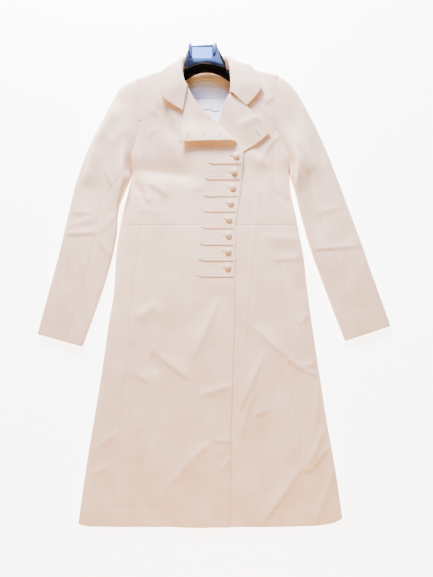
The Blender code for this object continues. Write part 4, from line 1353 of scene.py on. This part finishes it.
def make_stitching():
    """Arrowhead tacks at the tucks' left ends, the tucks' sewn lines and the edges' topstitching."""
    for number, row in enumerate(FASTENINGS, 1):
        x, y = row["tuck_x"], row["tuck_y"]
        middle = y + TUCK_WIDTH * ARROW_MIDDLE
        sew(f"arrowhead_{number}", satin(right_front, x - ARROW_LENGTH, middle, x + ARROW_INTO, middle,
                                         ARROW_POINT, ARROW_WIDTH, ARROW_LIFT))
        start, end, surface = x + LINE_IN, FRONT_EDGE(y) - TUCK_END - LINE_IN, tuck_surface(row)
        high, low = y + TUCK_WIDTH - LINE_HIGH, y + LINE_LOW
        sew(f"tuck_stitching_{number}", topstitch(surface, [(start, high), (end, high)])
            + topstitch(surface, [(start, low), (end, low)]))
    edge = [(FRONT_EDGE(y) - TUCK_END, y) for y in steps(24, *EDGE_LINE_Y)]
    sew("front_edge_stitching", topstitch(right_front, edge))
    left = lifted(left_front, left_lapel_lift)
    sew("left_lapel_stitching", topstitch(left, LEFT_LAPEL_STITCHING))
    right = lifted(right_front, right_lapel_lift)
    sew("right_lapel_stitching", topstitch(right, RIGHT_LAPEL_STITCHING))
    tack = (satin(right_front, -84.0, 326.5, -77.0, 321.5, TACK_WIDTH, TACK_WIDTH)
            + satin(right_front, -83.0, 321.0, -78.0, 327.0, TACK_WIDTH, TACK_WIDTH, TACK_LIFT))
    sew("lapel_corner_tack", tack)
    loop = [(-8.5, 305.0), (-5.0, 306.5), (-2.5, 303.5), (-4.5, 300.5), (-8.0, 302.0), (-8.5, 305.0)]
    raised = [right_front(x, y) + Vector((0.0, 0.0, LOOP_LIFT)) for x, y in loop]
    sew("button_thread_loop", [(a, b, LOOP_THREAD) for a, b in zip(raised, raised[1:])])


def outline_solid(name, outline, low, high):
    """A flat solid from an outline: a filled circle whose rim is set to it, then extruded up."""
    deselect()
    bpy.ops.mesh.primitive_circle_add(vertices=len(outline), radius=1.0, fill_type="NGON")
    made = bpy.context.object
    made.name = name
    for vert, (x, y) in zip(made.data.vertices, outline):
        vert.co = Vector((x, y, low)) * MM
    bpy.ops.object.mode_set(mode="EDIT")
    bpy.ops.mesh.select_all(action="SELECT")
    bpy.ops.mesh.extrude_region_move(TRANSFORM_OT_translate={"value": (0, 0, (high - low) * MM)})
    bpy.ops.mesh.select_all(action="SELECT")
    bpy.ops.mesh.normals_make_consistent(inside=False)
    bpy.ops.object.mode_set(mode="OBJECT")
    return made


def apply(made, kind, **settings):
    """A modifier with its settings, applied."""
    modifier = made.modifiers.new(kind.title(), kind)
    for name, value in settings.items():
        setattr(modifier, name, value)
    bpy.context.view_layer.objects.active = made
    bpy.ops.object.modifier_apply(modifier=modifier.name)


def shrunk(outline, amount, middle):
    return [(middle[0] + (x - middle[0]) * amount, middle[1] + (y - middle[1]) * amount) for x, y in outline]


def make_hanger():
    """The bar keeps its solid. The cap gets a black body, a dark shell with a window, and two horns."""
    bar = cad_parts["hanger_shoulders"]
    bar.data.materials.clear()
    bar.data.materials.append(FINISHES["black plastic"])
    body = outline_solid("hanger_cap_body", CAP_OUTLINE, *BODY_Z)
    apply(body, "BEVEL", width=2.2 * MM, segments=3, angle_limit=math.radians(25))
    shell = outline_solid("hanger_cap_shell", CAP_SHELL, *SHELL_Z)
    window = outline_solid("cap_window_cut", CAP_WINDOW, *WINDOW_Z)
    apply(window, "BEVEL", width=1.2 * MM, segments=2, angle_limit=math.radians(40))
    apply(shell, "BEVEL", width=1.8 * MM, segments=3, angle_limit=math.radians(30))
    apply(shell, "BOOLEAN", operation="DIFFERENCE", object=window, solver="EXACT")
    bpy.data.objects.remove(window)
    horns = []
    for side, horn in (("left", CAP_HORN_LEFT), ("right", CAP_HORN_RIGHT)):
        made = outline_solid(f"hanger_cap_horn_{side}", horn, *HORN_Z)
        apply(made, "BEVEL", width=1.6 * MM, segments=3, angle_limit=math.radians(30))
        horns.append(made)
    pane = outline_solid("hanger_cap_pane", shrunk(CAP_WINDOW, PANE_SHARE, PANE_MIDDLE), *PANE_Z)
    for made, finish in ((body, "black plastic"), (shell, "glossy plastic"), (pane, "plated pane"),
                         (horns[0], "glossy plastic"), (horns[1], "glossy plastic")):
        mesh = made.data
        mesh.shade_smooth()
        mesh.set_sharp_from_angle(angle=SHARP_ANGLE)
        mesh.materials.clear()
        mesh.materials.append(FINISHES[finish])
        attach(made, "root")
    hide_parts("hanger_cap")


def soft_lamp(name, place, target, size, power, colour):
    lamp = bpy.data.lights.new(name, "AREA")
    lamp.shape, lamp.size, lamp.energy, lamp.color = "DISK", size, power, colour
    made = bpy.data.objects.new(name, lamp)
    made.location = place
    made.rotation_euler = (Vector(target) - Vector(place)).to_track_quat("-Z", "Y").to_euler()
    bpy.context.collection.objects.link(made)


def make_stage(stage):
    """A pale floor, daylight from beyond the neck, a blue sky light, a warm fill and the camera."""
    deselect()
    bpy.ops.mesh.primitive_plane_add(size=1.0, location=(0.0, 0.0, -FLOOR_DROP))
    floor = bpy.context.object
    floor.name = "floor"
    floor.scale = (FLOOR_SIZE, FLOOR_SIZE, 1.0)
    bpy.ops.object.transform_apply(location=True, rotation=True, scale=True)
    paper, _, shader = new_finish("pale paper", "#f6f4f2", Roughness=0.9)
    shader.inputs["Emission Color"].default_value = (1.0, 1.0, 1.0, 1.0)
    shader.inputs["Emission Strength"].default_value = stage.floor_glow
    floor.data.materials.append(paper)
    for name, place, target, size, tint, power in LAMPS:
        soft_lamp(name, place, target, size, getattr(stage, power), linear(tint))
    world = bpy.data.worlds.new("room")
    world.use_nodes = True
    sky = world.node_tree.nodes["Background"]
    sky.inputs["Color"].default_value = (*linear(ROOM_TINT), 1.0)
    sky.inputs["Strength"].default_value = stage.room_strength
    bpy.context.scene.world = world
    camera = bpy.data.cameras.new("camera")
    camera.lens = stage.lens
    camera.clip_end = CAMERA_REACH
    made = bpy.data.objects.new("camera", camera)
    made.location = (CAMERA_X, CAMERA_Y, stage.height)
    made.rotation_euler = (stage.tilt, 0.0, 0.0)
    bpy.context.collection.objects.link(made)
    bpy.context.scene.camera = made


class CoatSizes(bpy.types.PropertyGroup):
    """Sizes and colours of the coat's cloth."""
    spacing: bpy.props.FloatProperty(
        name="Mesh step", description="How far apart the points of a large panel are", default=0.0042,
        min=0.002, max=0.02, unit="LENGTH")
    crease: bpy.props.FloatProperty(
        name="Creases", description="How deep the creases are, as a share of the depth shown", default=1.7,
        min=0.0, max=2.5, subtype="FACTOR")
    waves: bpy.props.FloatProperty(
        name="Waves", description="How high the cloth's slow waves are", default=0.003, min=0.0, max=0.005,
        unit="LENGTH")
    wool_light: bpy.props.FloatVectorProperty(
        name="Wool, light", description="The wool's lighter tone", default=linear(WOOL_LIGHT), size=3,
        subtype="COLOR", min=0.0, max=1.0)
    wool_shade: bpy.props.FloatVectorProperty(
        name="Wool, shade", description="The wool's darker tone", default=linear(WOOL_SHADE), size=3,
        subtype="COLOR", min=0.0, max=1.0)


class CoatStage(bpy.types.PropertyGroup):
    """The lights, the floor and the camera."""
    key_power: bpy.props.FloatProperty(
        name="Window light", description="Power of the daylight beyond the neck", default=225.0, min=0.0,
        subtype="POWER")
    sky_power: bpy.props.FloatProperty(
        name="Sky light", description="Power of the blue light over the collar", default=26.0, min=0.0,
        subtype="POWER")
    fill_power: bpy.props.FloatProperty(
        name="Room light", description="Power of the warm light over the hem", default=42.0, min=0.0,
        subtype="POWER")
    room_strength: bpy.props.FloatProperty(
        name="Room glow", description="Strength of the light from all round", default=0.38, min=0.0)
    floor_glow: bpy.props.FloatProperty(
        name="Floor glow", description="How much the paper floor lights up by itself", default=6.0, min=0.0)
    lens: bpy.props.FloatProperty(
        name="Lens", description="Focal length of the camera", default=27.02, min=10.0,
        subtype="DISTANCE_CAMERA")
    height: bpy.props.FloatProperty(
        name="Camera height", description="How high the camera is over the floor", default=1.0, min=0.3,
        unit="LENGTH")
    tilt: bpy.props.FloatProperty(
        name="Camera tilt", description="How far the camera looks towards the neck",
        default=math.radians(6.0), subtype="ANGLE")


def read_sizes(context):
    """Takes the sizes that the shape functions use from the panel."""
    sizes = context.scene.coat_sizes
    CHOSEN.update(spacing=sizes.spacing / MM, crease=sizes.crease, waves=sizes.waves / MM)
    if not FINISHES:
        make_finishes(sizes)


def run(context, make):
    """Takes the sizes from the panel and makes a piece or a group. An error goes on up to Blender."""
    read_sizes(context)
    make()
    return {"FINISHED"}


class COAT_OT_back(bpy.types.Operator):
    """Make the back's two panels, which lie on the ground"""
    bl_idname = "coat.back"
    bl_label = "Back"
    bl_options = {"REGISTER", "UNDO"}

    def execute(self, context):
        return run(context, make_back)


class COAT_OT_fronts(bpy.types.Operator):
    """Make the fronts and side panels of the bodice and the skirt, with their creases"""
    bl_idname = "coat.fronts"
    bl_label = "Fronts and sides"
    bl_options = {"REGISTER", "UNDO"}

    def execute(self, context):
        return run(context, make_fronts)


class COAT_OT_sleeves(bpy.types.Operator):
    """Make the top and under panels of both sleeves"""
    bl_idname = "coat.sleeves"
    bl_label = "Sleeves"
    bl_options = {"REGISTER", "UNDO"}

    def execute(self, context):
        return run(context, make_sleeves)


class COAT_OT_lapels(bpy.types.Operator):
    """Make the two lapels, which stand a little off the fronts"""
    bl_idname = "coat.lapels"
    bl_label = "Lapels"
    bl_options = {"REGISTER", "UNDO"}

    def execute(self, context):
        return run(context, make_lapels)


class COAT_OT_collar(bpy.types.Operator):
    """Make the collar: its stand, its roll and its fall, round the neck"""
    bl_idname = "coat.collar"
    bl_label = "Collar"
    bl_options = {"REGISTER", "UNDO"}

    def execute(self, context):
        return run(context, make_collar)


class COAT_OT_neck_inside(bpy.types.Operator):
    """Make the facing, the lining and the bare labels inside the neck"""
    bl_idname = "coat.neck_inside"
    bl_label = "Inside of the neck"
    bl_options = {"REGISTER", "UNDO"}

    def execute(self, context):
        return run(context, make_neck_inside)


class COAT_OT_tucks(bpy.types.Operator):
    """Make the eight tucks beside the buttons"""
    bl_idname = "coat.tucks"
    bl_label = "Tucks"
    bl_options = {"REGISTER", "UNDO"}

    def execute(self, context):
        return run(context, make_tucks)


class COAT_OT_buttons(bpy.types.Operator):
    """Make the covered buttons, all copies of one"""
    bl_idname = "coat.buttons"
    bl_label = "Buttons"
    bl_options = {"REGISTER", "UNDO"}

    def execute(self, context):
        return run(context, make_buttons)


class COAT_OT_buttonholes(bpy.types.Operator):
    """Sew the buttonholes of the front and of the lapels"""
    bl_idname = "coat.buttonholes"
    bl_label = "Buttonholes"
    bl_options = {"REGISTER", "UNDO"}

    def execute(self, context):
        return run(context, make_buttonholes)


class COAT_OT_stitching(bpy.types.Operator):
    """Sew the arrowhead tacks, the topstitching and the thread loop"""
    bl_idname = "coat.stitching"
    bl_label = "Stitching"
    bl_options = {"REGISTER", "UNDO"}

    def execute(self, context):
        return run(context, make_stitching)


class COAT_OT_hanger(bpy.types.Operator):
    """Make the hanger's cap and give its bar a finish"""
    bl_idname = "coat.hanger"
    bl_label = "Hanger"
    bl_options = {"REGISTER", "UNDO"}

    def execute(self, context):
        return run(context, make_hanger)


class COAT_OT_stage(bpy.types.Operator):
    """Make the floor, the lights and the camera"""
    bl_idname = "coat.stage"
    bl_label = "Stage"
    bl_options = {"REGISTER", "UNDO"}

    def execute(self, context):
        make_stage(context.scene.coat_stage)
        return {"FINISHED"}


PIECES = (COAT_OT_back, COAT_OT_fronts, COAT_OT_sleeves, COAT_OT_lapels, COAT_OT_collar, COAT_OT_neck_inside,
          COAT_OT_tucks, COAT_OT_buttons, COAT_OT_buttonholes, COAT_OT_stitching, COAT_OT_hanger,
          COAT_OT_stage)


class COAT_PT_panel(bpy.types.Panel):
    """Lists the coat's sizes and the operators that make its pieces"""
    bl_label = "Coat"
    bl_idname = "COAT_PT_panel"
    bl_space_type = "VIEW_3D"
    bl_region_type = "UI"
    bl_category = "Coat"

    def draw(self, context):
        for group in (context.scene.coat_sizes, context.scene.coat_stage):
            box = self.layout.box()
            for name in group.__annotations__:
                box.prop(group, name)
        for piece in PIECES:
            self.layout.operator(piece.bl_idname)


CLASSES = (CoatSizes, CoatStage, *PIECES, COAT_PT_panel)


def register():
    for each in CLASSES:
        bpy.utils.register_class(each)
    bpy.types.Scene.coat_sizes = bpy.props.PointerProperty(type=CoatSizes)
    bpy.types.Scene.coat_stage = bpy.props.PointerProperty(type=CoatStage)


def unregister():
    del bpy.types.Scene.coat_stage
    del bpy.types.Scene.coat_sizes
    for each in reversed(CLASSES):
        bpy.utils.unregister_class(each)


def main():
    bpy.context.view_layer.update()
    register()
    bpy.ops.coat.back()
    bpy.ops.coat.fronts()
    bpy.ops.coat.sleeves()
    bpy.ops.coat.lapels()
    bpy.ops.coat.collar()
    bpy.ops.coat.neck_inside()
    bpy.ops.coat.tucks()
    bpy.ops.coat.buttons()
    bpy.ops.coat.buttonholes()
    bpy.ops.coat.stitching()
    bpy.ops.coat.hanger()
    bpy.ops.coat.stage()


if __name__ == "__main__":
    main()
